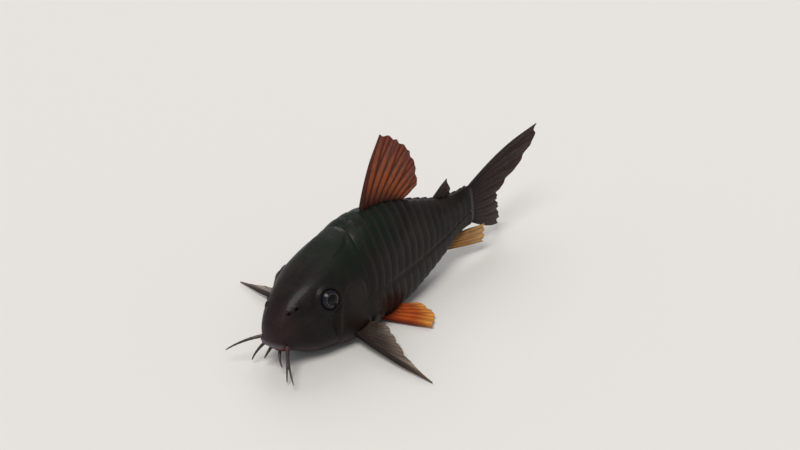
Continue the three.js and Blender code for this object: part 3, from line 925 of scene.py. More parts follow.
@dataclass(frozen=True)
class SkinPlate:
    """A raised bony plate on the skin, rounded in outline, at a place and an angle of the left side.

    Its other spans and its rim's line, a bell's middle and width, are shares of the way to the rim.
    """

    place: float
    angle: float
    half_place: float
    half_angle: float
    rise: float
    lean: float = 0.0
    paired: bool = True
    edge: float = 0.3
    fade: float = 0.0
    roundness: float = 2.6
    lean_limit: float = 1.3
    doming: float = 0.25
    fade_span: Span = (-0.75, 0.35)
    rim_span: Span = (0.88, 1.02)
    rim_line: Pair = (0.94, 0.06)

    def spread(self, place: Array, degrees: Array, side: Side) -> Array:
        """How far each spot is from the plate's middle, as a share of the way to its rim.

        The outline is a superellipse: the ways along and around, as shares of the plate's half sizes,
        are raised to its roundness and summed.

        Args:
            place: Shares of the body's length.
            degrees: Angles round the body.
            side: The side that the plate is on.

        Returns:
            0 in the middle, 1 on the rim, more outside.
        """
        away = (degrees - side.about(self.angle) + 180.0) % 360.0 - 180.0
        around = -side.sign * away / self.half_angle
        lean = np.clip(around, -self.lean_limit, self.lean_limit) * self.lean
        along = (place - self.place - lean) / self.half_place
        powers = np.abs(along) ** self.roundness + np.abs(around) ** self.roundness
        return powers ** (1.0 / self.roundness)

    def relief(self, place: Array, degrees: Array, side: Side) -> tuple[Array, Array]:
        """The plate's slightly domed rise, faded towards its front, and a line along its rim.

        Args:
            place: Shares of the body's length.
            degrees: Angles round the body.
            side: The side that the plate is on.

        Returns:
            Heights in metres, and rim marks from 0 to 1.
        """
        spread = self.spread(place, degrees, side)
        dome = 1.0 - self.doming * np.clip(spread, 0.0, 1.0) ** 2
        front = (place - self.place) / self.half_place
        shown = 1.0 - self.fade * (1.0 - smooth(front, *self.fade_span))
        height = self.rise * dome * shown * (1.0 - smooth(spread, *self.rim_span))
        return height, self.edge * shown * bell(spread, *self.rim_line)


@dataclass(frozen=True)
class PlateRows:
    """The rows of overlapping plates along the flanks, one above and one below the side's seam.

    A plate has a ring at each of its shares. The seams and the belly are in degrees from the back.
    """

    trunk: int = 10
    tail: int = 7
    rise: float = 0.34 * MM
    shares: tuple[float, ...] = (0.0, 0.1, 0.22, 0.36, 0.5, 0.64, 0.77, 0.87, 0.94, 0.975, 0.995)
    rise_power: float = 1.8
    shrink: float = 0.45
    shrink_span: Span = (0.6, 1.0)
    head_rise: float = 0.5
    head_way: float = 0.03
    back_seam: float = 8.0
    side_seam: float = 3.0
    side_seam_at: float = 90.0
    belly_span: Span = (124.0, 160.0)

    def stretch(self, start: float, end: float, count: int) -> tuple[Array, Array]:
        """The rings of one stretch of plates.

        Each plate rises from its front to its rear edge, as 1 - (1 - t)^1.8 of its share t, then
        steps down to the next.

        Args:
            start: Where the first plate begins.
            end: Where the last one ends.
            count: How many plates.

        Returns:
            Places, and the plates' rise at each in metres.
        """
        pitch = (end - start) / count
        starts = start + pitch * np.arange(count)
        size = 1.0 - self.shrink * smooth(starts, *self.shrink_span)
        shares = np.array(self.shares)
        risen = self.rise * size[:, None] * (1.0 - (1.0 - shares) ** self.rise_power)
        return (starts[:, None] + pitch * shares).ravel(), risen.ravel()

    def share(self, degrees: Array) -> Array:
        """How much of a plate's rise an angle takes: none on the seams, nor on the bare belly.

        Args:
            degrees: Angles round the body.

        Returns:
            Shares from 0 to 1.
        """
        side = from_back(degrees)
        seam = np.minimum(side / self.back_seam, np.abs(side - self.side_seam_at) / self.side_seam)
        return smooth(seam, 0.0, 1.0) * (1.0 - smooth(side, *self.belly_span))


@dataclass(frozen=True)
class EyeForm:
    """An eye and its socket: the distances are from the eye's axis, and reach is along it."""

    place: float = 0.215
    angle: float = 65.5
    sink: float = 0.98 * MM
    radius: float = 1.95 * MM
    cornea: float = 0.035
    cornea_width: float = 0.55
    opening: float = 1.62 * MM
    wall: float = 0.3 * MM
    cup: float = 0.75 * MM
    reach: Span = (-0.5 * MM, 0.2 * MM)
    rim: float = 2.0 * MM
    rim_width: float = 0.34 * MM
    rim_rise: float = 0.3 * MM
    brow: float = 0.22 * MM
    brow_width: float = 3.0 * MM

    def centre(self, form: BodyForm, side: Side) -> tuple[Array, Array]:
        """The eye's centre and its outward axis.

        Args:
            form: The body that it is set in.
            side: Which eye.

        Returns:
            The centre in metres, and the axis.
        """
        angle = side.about(self.angle)
        axis = form.outwards(self.place, angle)
        spot = form.point(np.array(self.place), np.array(angle))
        return spot - axis * self.sink, axis

    def sockets(self, form: BodyForm, base: Array) -> Array:
        """Both sockets: a raised rim round an opening that dips behind the eyeball, on a low brow.

        Args:
            form: The body that they are set in.
            base: Points of the bare skin.

        Returns:
            Heights in metres.
        """
        height = np.zeros(base.shape[:-1])
        for side in Side:
            centre, axis = self.centre(form, side)
            away = base - centre
            depth = away @ axis
            distance = np.linalg.norm(away - depth[..., None] * axis, axis=-1)
            rim = self.rim_rise * bell(distance, self.rim, self.rim_width)
            cup = self.cup * (1.0 - smooth(distance, self.opening - self.wall, self.opening))
            brow = self.brow * bell(distance, 0.0, self.brow_width)
            height += smooth(depth, *self.reach) * (rim - cup + brow)
        return height


@dataclass(frozen=True)
class Nostrils:
    """Two pits on each side of the snout, each at a place and an angle, with a thin raised rim."""

    spots: tuple[Pair, ...] = ((0.082, 42.0), (0.107, 47.0))
    radius: float = 0.36 * MM
    depth: float = 0.42 * MM
    pit_share: float = 0.62
    rim_share: float = 1.15
    rim_width: float = 0.13 * MM
    rim_rise: float = 0.16 * MM

    def relief(self, form: BodyForm, base: Array) -> Array:
        """The pits and their rims, as bells of the distance from each spot.

        Args:
            form: The body that they are in.
            base: Points of the bare skin.

        Returns:
            Heights in metres.
        """
        height = np.zeros(base.shape[:-1])
        for place, angle in self.spots:
            for side in Side:
                spot = form.point(np.array(place), np.array(side.about(angle)))
                distance = np.linalg.norm(base - spot, axis=-1)
                height -= self.depth * bell(distance, 0.0, self.pit_share * self.radius)
                height += self.rim_rise * bell(distance, self.rim_share * self.radius, self.rim_width)
        return height


@dataclass(frozen=True)
class Lip:
    """A lip, or the line between the two: a bell of height that runs across the snout."""

    level: float
    arch: float
    width: float
    rise: float

    def band(self, z: Array, across: Array) -> Array:
        """The bell, its level raised by arch times the square of the way to the mouth's corner."""
        return bell(z, self.level + self.arch * across**2, self.width)


@dataclass(frozen=True)
class Mouth:
    """Two folded lips and the line between them, on the front of the snout."""

    upper: Lip = Lip(5.15 * MM, -0.3 * MM, 0.36 * MM, 0.46 * MM)
    lower: Lip = Lip(4.1 * MM, 0.1 * MM, 0.32 * MM, 0.38 * MM)
    line: Lip = Lip(4.62 * MM, -0.08 * MM, 0.17 * MM, -0.42 * MM)
    flesh: Lip = Lip(4.54 * MM, 0.0, 0.2 * MM, 0.0)
    half_width: float = 2.5 * MM
    front: Span = (0.075, 0.1)
    corner: Span = (0.82, 1.12)
    fold_depth: float = 0.12
    fold_length: float = 0.16 * MM

    def relief(self, form: BodyForm, base: Array, place: Array) -> tuple[Array, Array, Array]:
        """The lips, the folds across them and the line between them.

        Args:
            form: The body that they are on.
            base: Points of the bare skin.
            place: Their places along the body.

        Returns:
            Heights in metres, a mark for the red flesh between the lips, and one for the upper lip.
        """
        across = np.abs(base[..., 1] - form.turned(place)) / self.half_width
        z = base[..., 2]
        front = 1.0 - smooth(base[..., 0], *form.x_of(np.array(self.front)))
        shown = front * (1.0 - smooth(across, *self.corner))
        upper = self.upper.band(z, across)
        folds = 1.0 + self.fold_depth * np.sin(base[..., 1] / self.fold_length)
        lips = self.upper.rise * upper + self.lower.rise * self.lower.band(z, across)
        height = shown * (lips * folds + self.line.rise * self.line.band(z, across))
        return height, shown * self.flesh.band(z, across), shown * upper


@dataclass(frozen=True)
class FinRoots:
    """Low swellings of flesh round the roots of the paired fins and along the dorsal fin."""

    swellings: tuple[tuple[Triple, float], ...] = (
        ((0.325, 0.13, 0.064), 1.7 * MM),
        ((0.5, 0.088, 0.026), 1.5 * MM),
    )
    rise: float = 0.4 * MM
    ridge_rise: float = 0.3 * MM
    ridge_width: float = 0.75 * MM
    ridge_height: Span = (14.0 * MM, 15.0 * MM)
    ridge_start: Span = (0.44, 0.47)
    ridge_stop: Span = (0.66, 0.7)

    def relief(self, form: BodyForm, base: Array) -> Array:
        """The swellings and the ridge, as bells of the distance from spots and from the middle line.

        Args:
            form: The body that the fins grow from.
            base: Points of the bare skin.

        Returns:
            Heights in metres.
        """
        height = np.zeros(base.shape[:-1])
        for side in Side:
            for spot, size in self.swellings:
                middle = form.at(*spot) * side.flip
                height += self.rise * bell(np.linalg.norm(base - middle, axis=-1), 0.0, size)
        ridge = bell(base[..., 1], 0.0, self.ridge_width) * smooth(base[..., 2], *self.ridge_height)
        ends = (form.x_of(np.array(end)) for end in (self.ridge_start, self.ridge_stop))
        return height + self.ridge_rise * ridge * window(base[..., 0], *ends)


@dataclass(frozen=True)
class SkinTones:
    """Where the skin's painted green sheen, its purple (painted bounce light along the lower cheek, and a
    tint on the snout) and its paler belly lie.

    Angles are in degrees from the back. The line of the cheek's painted bounce light is a bell's middle
    and width.
    """

    sheen_start: Span = (0.2, 0.3)
    sheen_stop: Span = (0.5, 0.62)
    sheen_side: Span = (35.0, 75.0)
    cheek_light_line: Pair = (128.0, 13.0)
    cheek_light_start: Span = (0.07, 0.12)
    cheek_light_stop: Span = (0.3, 0.37)
    snout_purple: float = 0.55
    snout_stop: Span = (0.05, 0.12)
    belly_side: Span = (128.0, 160.0)
    belly_fade: float = 0.5
    belly_stop: Span = (0.7, 0.9)

    def marks(self, place: Array, side: Array) -> dict[str, Array]:
        """The three marks: painted green sheen on the shoulders, purple of painted bounce light along the
        lower cheek and of a tint on the snout, and a pale belly.

        Args:
            place: Shares of the body's length.
            side: Degrees from the back.

        Returns:
            Numbers from 0 to 1 by the mark's name.
        """
        # Painted green sheen on the shoulders.
        sheen = window(place, self.sheen_start, self.sheen_stop) * (1.0 - smooth(side, *self.sheen_side))
        # Painted bounce light from the floor along the lower cheek rim, in purple.
        cheek = bell(side, *self.cheek_light_line) * window(place, self.cheek_light_start, self.cheek_light_stop)
        snout = self.snout_purple * (1.0 - smooth(place, *self.snout_stop))
        belly = smooth(side, *self.belly_side) * (1.0 - self.belly_fade * smooth(place, *self.belly_stop))
        return {"green": sheen, "purple": np.maximum(cheek, snout), "belly": belly}


@dataclass
class Skin:
    """One skin over head, trunk and tail, with plates, sockets, nostrils and lips in its own surface."""

    form: BodyForm
    eye: EyeForm
    columns: int = 256
    head_rows: int = 170
    head_crowding: float = 0.45
    first_ring: float = 0.0006
    end_rows: int = 14
    flank: PlateRows = PlateRows()
    gill_cover: SkinPlate = SkinPlate(0.292, 101.0, 0.056, 40.0, 0.34 * MM, -0.012, edge=0.9)
    cheek: SkinPlate = SkinPlate(0.172, 102.0, 0.05, 26.0, 0.2 * MM, 0.012, fade=0.7)
    crown: SkinPlate = SkinPlate(0.3, 0.0, 0.06, 25.0, 0.26 * MM, paired=False, fade=1.0)
    nape: SkinPlate = SkinPlate(0.415, 0.0, 0.036, 20.0, 0.42 * MM, paired=False, fade=0.5)
    shoulder: SkinPlate = SkinPlate(0.392, 128.0, 0.026, 22.0, 0.5 * MM, 0.008, edge=0.7)
    nostrils: Nostrils = Nostrils()
    mouth: Mouth = Mouth()
    fin_roots: FinRoots = FinRoots()
    tones: SkinTones = SkinTones()
    edge_span: Span = (0.78, 1.0)
    rim_share: float = 0.8

    def rows(self) -> tuple[Array, Array]:
        """The rings from snout to tail.

        On the head they crowd towards the snout: the share t of the way becomes 0.55 t + 0.45 t^2.

        Returns:
            Places, and the plates' rise at each in metres.
        """
        form, flank = self.form, self.flank
        t = np.linspace(0.0, 1.0, self.head_rows, endpoint=False)
        first = form.snout + self.first_ring
        head = mix(first, form.head_end, mix(t, t**2, self.head_crowding))
        rising = smooth(head, form.head_end - flank.head_way, form.head_end)
        trunk = flank.stretch(form.head_end, form.trunk_end, flank.trunk)
        tail = flank.stretch(form.trunk_end, form.plates_end, flank.tail)
        end = mix(form.plates_end, form.end, np.sin(np.linspace(0.0, 0.5 * np.pi, self.end_rows)))
        front = (head, flank.head_rise * flank.rise * rising)
        places, rises = zip(front, trunk, tail, (end, np.zeros(self.end_rows)))
        return np.concatenate(places), np.concatenate(rises)

    def head_plates(self, place: Array, degrees: Array) -> tuple[Array, Array]:
        """The rise of the bony plates of head, nape and shoulders, and a mark along their rims.

        Args:
            place: Shares of the body's length.
            degrees: Angles round the body.

        Returns:
            Heights in metres, and rim marks from 0 to 1.
        """
        height, rim = np.zeros(place.shape), np.zeros(place.shape)
        for plate in (self.gill_cover, self.cheek, self.crown, self.nape, self.shoulder):
            for side in Side if plate.paired else (Side.LEFT,):
                raised, line = plate.relief(place, degrees, side)
                height = np.maximum(height, raised)
                rim = np.maximum(rim, line)
        return height, rim

    def build(self) -> Surface:
        """Works out the whole skin.

        Returns:
            A closed surface whose relief lies along the bare skin's normals.
        """
        places, rises = self.rows()
        angles = np.arange(self.columns) * 360.0 / self.columns
        place, degrees = np.meshgrid(places, angles, indexing="ij")
        base = self.form.point(place, degrees)
        along = np.gradient(base, axis=0)
        around = np.roll(base, -1, axis=1) - np.roll(base, 1, axis=1)
        normal = unit(np.cross(around, along))
        share = self.flank.share(degrees)
        raised, rim = self.head_plates(place, degrees)
        lips, flesh, lip = self.mouth.relief(self.form, base, place)
        height = np.maximum(rises[:, None] * share, raised) + lips + self.eye.sockets(self.form, base)
        height += self.nostrils.relief(self.form, base) + self.fin_roots.relief(self.form, base)
        points = base + normal * height[..., None]
        points[..., 2] = np.maximum(points[..., 2], 0.0)
        edge = smooth(rises / self.flank.rise, *self.edge_span)[:, None] * share
        marks = self.tones.marks(place, from_back(degrees))
        marks |= {"edge": np.maximum(edge, self.rim_share * rim), "flesh": flesh, "lip": lip}
        return closed_tube(points, marks)


@dataclass
class Eye:
    """One eyeball with a slightly bulging cornea."""

    form: BodyForm
    shape: EyeForm
    side: Side
    rows: int = 40
    columns: int = 56
    pole_gap: float = 0.8

    def build(self) -> Surface:
        """Works out the eyeball.

        It is a sphere about the eye's axis, its radius raised near the axis by a bell of its angle.

        Returns:
            A closed surface, marked with degrees from the axis.
        """
        centre, axis = self.shape.centre(self.form, self.side)
        sideways = unit(np.cross(axis, np.array([0.0, 0.0, 1.0])))
        upwards = np.cross(sideways, axis)
        turn = np.radians(np.linspace(self.pole_gap, 180.0 - self.pole_gap, self.rows))
        about = np.arange(self.columns) * 2.0 * np.pi / self.columns
        t, a = np.meshgrid(turn, about, indexing="ij")
        radius = self.shape.radius * (1.0 + self.shape.cornea * bell(t, 0.0, self.shape.cornea_width))
        ring = np.cos(a)[..., None] * sideways + np.sin(a)[..., None] * upwards
        points = centre + radius[..., None] * (np.cos(t)[..., None] * axis + np.sin(t)[..., None] * ring)
        return closed_tube(points, {"turn": np.degrees(t)})


# Fins


@dataclass
class Fin:
    """A fin drawn ray by ray: rays leave a root line, and the membrane hangs between them.

    A spot's share runs across the fin from the leading ray, 0, to the last, 1, and out runs from the
    root, 0, to the edge, 1. Beyond fork, each soft ray parts in two.
    """

    form: BodyForm
    node: str
    rays: int
    sink: float
    membrane: float = 0.13 * MM
    ray_rise: float = 0.17 * MM
    ray_fall: float = 0.5
    ray_width: float = 0.15
    ray_narrowing: float = 0.05
    narrow_end: float = 0.9
    fork: float = 0.38
    fork_spread: float = 0.24
    spine: float = 0.28 * MM
    spine_width: float = 0.22
    spine_fall: float = 0.72
    edge_thinning: float = 0.62
    edge_span: Span = (0.6, 1.0)
    notch: float = 0.03
    notch_power: float = 0.7
    wear: float = 0.008
    ripple: float = 0.175 * MM
    ripple_span: Span = (0.2, 1.0)
    crowding: float = 0.92
    across: Triple = (0.0, 1.0, 0.0)
    steps: int = 12
    rows: int = 46
    seed: int = 1

    def nodes(self) -> tuple[str, ...]:
        """The solids' nodes that it stands for."""
        return (self.node,)

    def root(self, share: Array) -> Array:
        """Where each ray leaves the body."""
        raise NotImplementedError

    def direction(self, share: Array) -> Array:
        """Which way each ray goes, as a unit vector."""
        raise NotImplementedError

    def length(self, share: Array) -> Array:
        """Each ray's length, in metres."""
        raise NotImplementedError

    def bend(self, share: Array, out: Array) -> Array:
        """How far each spot is moved from its straight ray, in metres."""
        raise NotImplementedError

    def forks(self, ray: Array) -> Array:
        """Which rays part in two: all but the leading one."""
        return ray > 0.5

    def ray_mask(self, step: Array, out: Array) -> Array:
        """How much of a ray each spot has: bells about each ray's one or two branches.

        Args:
            step: Places across the fin, counted in rays.
            out: Shares of the way out.

        Returns:
            1 on a ray, 0 between rays.
        """
        nearest = np.round(step)
        spread = self.fork_spread * smooth(out, self.fork, 1.0) * self.forks(nearest)
        width = self.ray_width - self.ray_narrowing * smooth(out, self.fork, self.narrow_end)
        return bell(np.abs(step - nearest), spread, width)

    def build(self) -> Surface:
        """Works out the fin as a closed sheet.

        Half its thickness at each spot is the membrane's, plus the ray's ridge, plus the leading
        spine's round section, all tapering to the edge. Each ray's length is worn by a random share,
        and the edge dips between rays.

        Returns:
            A closed surface with marks for share, out, ray and distance run.
        """
        last = self.rays - 1
        grid = (np.linspace(0.0, 1.0, last * self.steps + 1), np.linspace(0.0, 1.0, self.rows))
        share, run = np.meshgrid(*grid)
        step = share * last
        worn = np.random.default_rng(self.seed).uniform(-1.0, 1.0, self.rays)
        wear = self.wear * np.interp(step[0], np.arange(self.rays), worn)
        notch = self.notch * (0.5 - 0.5 * np.cos(2.0 * np.pi * step[0])) ** self.notch_power
        length = self.length(share[0]) * (1.0 - notch - wear)
        reach = -self.sink + (length + self.sink) * run**self.crowding
        out = np.clip(reach / length, 0.0, 1.0)
        across = unit(np.array(self.across))
        ripple = self.ripple * np.sin(step * np.pi) * smooth(out, *self.ripple_span)
        spots = self.root(share) + self.direction(share) * reach[..., None] + self.bend(share, out)
        spots = spots + across * ripple[..., None]
        ray = self.ray_mask(step, out)
        lead = np.clip(1.0 - (step / self.spine_width) ** 2, 0.0, 1.0) ** 0.5
        ridge = self.ray_rise * ray * (1.0 - self.ray_fall * out)
        ridge = ridge + self.spine * lead * (1.0 - self.spine_fall * out)
        half = (self.membrane + ridge) * (1.0 - self.edge_thinning * smooth(out, *self.edge_span))
        offset = across * half[..., None]
        marks = {
            "share": share,
            "out": out,
            "ray": np.maximum(ray, lead),
            "run": np.clip(reach, 0.0, None) / MM,
        }
        return closed_sheet(spots + offset, spots - offset, marks)


@dataclass
class BackFin(Fin):
    """A fin on the middle line of the back or the belly, its rays leaning backwards."""

    base: Pair = (0.463, 0.642)
    lean: Pair = (16.0, 74.0)
    lean_power: float = 1.05
    long: Pair = (0.243, 0.085)
    long_power: float = 1.45
    sweep: float = 0.045
    aside: float = 0.0
    above: bool = True

    def root(self, share: Array) -> Array:
        """The skin's middle line, from one end of the base to the other."""
        angle = np.full_like(share, 0.0 if self.above else 180.0)
        return self.form.point(mix(*self.base, share), angle) * np.array([1.0, 0.0, 1.0])

    def direction(self, share: Array) -> Array:
        """Up or down, leaning back by an angle that grows across the fin."""
        lean = np.radians(mix(*self.lean, share**self.lean_power))
        return stack(np.sin(lean), 0.0, np.cos(lean) * (1.0 if self.above else -1.0))

    def length(self, share: Array) -> Array:
        """Longest at the front."""
        return self.form.length * mix(*self.long, share**self.long_power)

    def bend(self, share: Array, out: Array) -> Array:
        """Swept back by the square of the way out, most at the front, and hung to one side."""
        return self.form.length * stack(self.sweep * out**2 * (1.0 - share), self.aside * out, 0.0)


@dataclass
class TailFin(Fin):
    """The forked tail fin, whose lower lobe is swept to the right."""

    heights: Pair = (0.245, 0.125)
    lean: Pair = (16.0, -28.5)
    middle: float = 0.5
    upper: float = 0.402
    lower: float = 0.25
    centre: float = 0.17
    swing: float = 0.055
    swing_span: Span = (0.4, 1.0)
    upper_arch: float = 0.02
    lower_arch: float = -0.0084

    def nodes(self) -> tuple[str, ...]:
        """Its two lobes."""
        return (f"{self.node}_upper", f"{self.node}_lower")

    def root(self, share: Array) -> Array:
        """An upright line at the end of the tail."""
        return self.form.at(self.form.plates_end, 0.0, mix(*self.heights, share))

    def direction(self, share: Array) -> Array:
        """Backwards, fanned from up to down."""
        lean = np.radians(mix(*self.lean, share))
        return stack(np.cos(lean), 0.0, np.sin(lean))

    def outer(self, share: Array) -> Array:
        """The way from the fork, 0, to either lobe's outer ray, 1."""
        return np.abs(share - self.middle) / self.middle

    def length(self, share: Array) -> Array:
        """Short in the middle and long in each lobe, by a soft step of the way to the lobe."""
        lobe = np.where(share < self.middle, self.upper, self.lower)
        return self.form.length * mix(self.centre, lobe, smooth(self.outer(share), 0.0, 1.0))

    def bend(self, share: Array, out: Array) -> Array:
        """Swung to the right by the square of the way out, and each lobe's outer edge arched outwards.

        Args:
            share: Places across the fin.
            out: Shares of the way out.

        Returns:
            Offsets in metres.
        """
        swing = self.swing * smooth(share, *self.swing_span) * out**2
        arch = np.where(share < self.middle, self.upper_arch, self.lower_arch) * np.sin(np.pi * out)
        return self.form.length * stack(0.0, swing, arch * self.outer(share))

    def forks(self, ray: Array) -> Array:
        """Which rays part in two: all but the first and the last."""
        return (ray > 0.5) & (ray < self.rays - 1.5)


@dataclass
class PairedFin(Fin):
    """A pectoral or pelvic fin, spread sideways from the lower flank."""

    side: Side = Side.LEFT
    start: Triple = (0.3, 0.108, 0.056)
    stop: Triple = (0.35, 0.108, 0.07)
    sweep: Pair = (-7.0, 26.0)
    drop: float = 0.13
    long: Pair = (0.38, 0.07)
    long_power: float = 0.42
    curl: float = 0.03

    def root(self, share: Array) -> Array:
        """A straight line in the flank."""
        ends = [mix(a, b, share) for a, b in zip(self.start, self.stop)]
        return self.form.at(*ends) * self.side.flip

    def direction(self, share: Array) -> Array:
        """Sideways and slightly down, swept back by an angle that grows across the fin."""
        sweep = np.radians(mix(*self.sweep, share))
        return unit(stack(np.sin(sweep), -np.cos(sweep), -self.drop)) * self.side.flip

    def length(self, share: Array) -> Array:
        """Longest at the leading ray."""
        return self.form.length * mix(*self.long, share**self.long_power)

    def bend(self, share: Array, out: Array) -> Array:
        """Curled back by the square of the way out."""
        return stack(self.form.length * self.curl * out**2, 0.0, 0.0)


# Barbels


@dataclass
class Barbel:
    """A tapering feeler along a curve through three points, given in shares of the body's length."""

    form: BodyForm
    name: str
    root: Triple
    middle: Triple
    tip: Triple
    radius: float = 0.34 * MM
    taper: float = 0.7
    taper_power: float = 0.8
    wrinkle: float = 0.05
    wrinkle_turns: float = 46.0
    rounding: Span = (0.93, 1.0)
    rounding_share: float = 0.85
    buried: float = 0.06
    rings: int = 48
    sides: int = 18

    def path(self, t: Array) -> Array:
        """The parabola through the three points, which it passes at t of 0, 0.5 and 1.

        Each point is weighed by a quadratic that is 1 at its own t and 0 at the other two.

        Args:
            t: Shares of the way from root to tip.

        Returns:
            Points in metres.
        """
        spots = np.array([self.root, self.middle, self.tip])
        flip = Side(self.name[-1]).flip
        a, b, c = self.form.at(*spots.T) * flip + stack(0.0, self.form.turned(spots[:, 0]), 0.0)
        return 2.0 * (t - 0.5) * (t - 1.0) * a - 4.0 * t * (t - 1.0) * b + 2.0 * t * (t - 0.5) * c

    def build(self) -> Surface:
        """Carries a circle along the path, shrunk towards the tip and wrinkled by a fine sine wave.

        Returns:
            A closed surface, marked with the share of the way out.
        """
        t = np.linspace(-self.buried, 1.0, self.rings)
        path = self.path(t[:, None])
        tangent = unit(np.gradient(path, axis=0))
        sideways = unit(np.cross(tangent, np.array([0.0, 0.0, 1.0])))
        upwards = np.cross(sideways, tangent)
        out = np.clip(t, 0.0, 1.0)
        wrinkles = 1.0 + self.wrinkle * np.sin(out * self.wrinkle_turns)
        end = np.sqrt(1.0 - self.rounding_share * smooth(out, *self.rounding))
        radius = self.radius * (1.0 - self.taper * out**self.taper_power) * wrinkles * end
        turn = np.arange(self.sides) * 2.0 * np.pi / self.sides
        c, s = np.cos(turn)[None, :, None], np.sin(turn)[None, :, None]
        ring = c * sideways[:, None] + s * upwards[:, None]
        points = path[:, None] + ring * radius[:, None, None]
        return closed_tube(points, {"out": np.repeat(out[:, None], self.sides, axis=1)})


# The whole fish


@dataclass
class Fish:
    """The dressed fish: every piece, the node it stands for and the finish it takes."""

    form: BodyForm = field(default_factory=BodyForm)
    eye: EyeForm = field(default_factory=EyeForm)

    def set_piece(
        self,
        name: str,
        surface: Surface,
        finish: bpy.types.Material,
        slot: Slot,
        *nodes: str,
    ) -> None:
        """Builds a piece, dresses it, hangs it on the body and hides the nodes that it stands for.

        Args:
            name: The piece's name.
            surface: Its mesh.
            finish: Its material.
            slot: The record's slot that it takes; not used.
            nodes: The nodes that it replaces.
        """
        piece = surface.build(name)
        piece.data.materials.append(finish)
        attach(piece, BODY)
        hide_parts(*nodes)
        faces = 2 * len(surface.quads) + len(surface.triangles)
        LOG.info("%s: %d triangles, stands for %s", name, faces, ", ".join(nodes))

    def middle_fins(self) -> list[tuple[Fin, FinFinish, Slot]]:
        """Lists the fins on the middle line.

        Returns:
            The dorsal, adipose, anal and tail fin, each with its finish and its slot.
        """
        dorsal = BackFin(self.form, "dorsal_fin", rays=9, sink=1.6 * MM, seed=3)
        adipose = BackFin(
            self.form,
            "adipose_fin",
            rays=4,
            sink=0.8 * MM,
            spine=0.16 * MM,
            ray_rise=0.06 * MM,
            notch=0.0,
            seed=4,
            base=(0.8, 0.868),
            lean=(56.0, 76.0),
            lean_power=1.0,
            long=(0.088, 0.018),
            long_power=1.0,
            sweep=0.0,
        )
        anal = BackFin(
            self.form,
            "anal_fin",
            rays=7,
            sink=1.0 * MM,
            spine=0.08 * MM,
            seed=5,
            base=(0.81, 0.89),
            lean=(80.0, 92.0),
            lean_power=1.0,
            long=(0.195, 0.12),
            long_power=1.0,
            sweep=0.0,
            aside=-0.036,
            above=False,
        )
        tail = TailFin(
            self.form,
            "tail_fin",
            rays=14,
            sink=0.5 * MM,
            spine=0.1 * MM,
            ray_rise=0.09 * MM,
            seed=6,
        )
        return [
            (dorsal, RED_FIN, Slot.FIN_RED),
            (adipose, TAIL_FIN, Slot.FIN_DARK),
            (anal, YELLOW_FIN, Slot.FIN_ORANGE),
            (tail, TAIL_FIN, Slot.FIN_DARK),
        ]

    def paired_fins(self, side: Side) -> list[tuple[Fin, FinFinish, Slot]]:
        """One side's pectoral and pelvic fin, each with its finish and its slot.

        Args:
            side: Which side.

        Returns:
            The two fins; the left pectoral fin is held further forward than the right.
        """
        pectoral = PairedFin(
            self.form,
            f"pectoral_fin_{side.value}",
            rays=9,
            sink=0.9 * MM,
            spine=0.3 * MM,
            across=(0.25, 0.12 * side.sign, 1.0),
            seed=7,
            side=side,
            sweep=(-7.0, 8.0) if side is Side.LEFT else (1.0, 22.0),
        )
        pelvic = PairedFin(
            self.form,
            f"pelvic_fin_{side.value}",
            rays=6,
            sink=1.2 * MM,
            spine=0.12 * MM,
            across=(0.1, 0.12 * side.sign, 1.0),
            seed=8,
            side=side,
            start=(0.458, 0.1, 0.022),
            stop=(0.52, 0.075, 0.026),
            sweep=(23.0, 60.0),
            drop=0.06,
            long=(0.17, 0.085),
            long_power=2.2,
            curl=0.0,
        )
        return [(pectoral, SMOKE_FIN, Slot.FIN_DARK), (pelvic, ORANGE_FIN, Slot.FIN_ORANGE)]

    def barbels(self) -> list[Barbel]:
        """Lists the barbels: three pairs round the mouth, each by its root, middle and tip.

        Returns:
            The six barbels.
        """
        routes = {
            "upper_l": ((0.058, 0.052, 0.092), (0.014, 0.1, 0.066), (-0.02, 0.154, 0.03)),
            "upper_r": ((0.054, 0.048, 0.1), (0.0, 0.095, 0.088), (-0.035, 0.15, 0.05)),
            "lower_l": ((0.064, 0.05, 0.078), (0.028, 0.075, 0.046), (-0.006, 0.106, 0.014)),
            "lower_r": ((0.06, 0.042, 0.082), (0.03, 0.066, 0.05), (0.014, 0.082, 0.014)),
            "chin_l": ((0.058, 0.018, 0.076), (0.036, 0.034, 0.054), (0.026, 0.052, 0.032)),
            "chin_r": ((0.058, 0.016, 0.076), (0.036, 0.022, 0.056), (0.026, 0.032, 0.034)),
        }
        return [Barbel(self.form, name, *route) for name, route in routes.items()]

    def build(self) -> None:
        """Builds and dresses every piece."""
        skin = Skin(self.form, self.eye).build()
        self.set_piece("body_skin", skin, SkinFinish().material(), Slot.SKIN, "head", "trunk", "tail")
        wet = EyeFinish().material()
        for side in Side:
            ball = Eye(self.form, self.eye, side).build()
            self.set_piece(f"eyeball_{side.value}", ball, wet, Slot.EYE, f"eye_{side.value}")
        fins = self.middle_fins() + [spec for side in Side for spec in self.paired_fins(side)]
        materials = {finish.name: finish.material() for finish in FIN_FINISHES}
        for fin, finish, slot in fins:
            self.set_piece(f"{fin.node}_sheet", fin.build(), materials[finish.name], slot, *fin.nodes())
        soft = BarbelFinish().material()
        for barbel in self.barbels():
            name = f"barbel_{barbel.name}"
            self.set_piece(f"{name}_flesh", barbel.build(), soft, Slot.BARBEL, name)


# Floor, light and camera


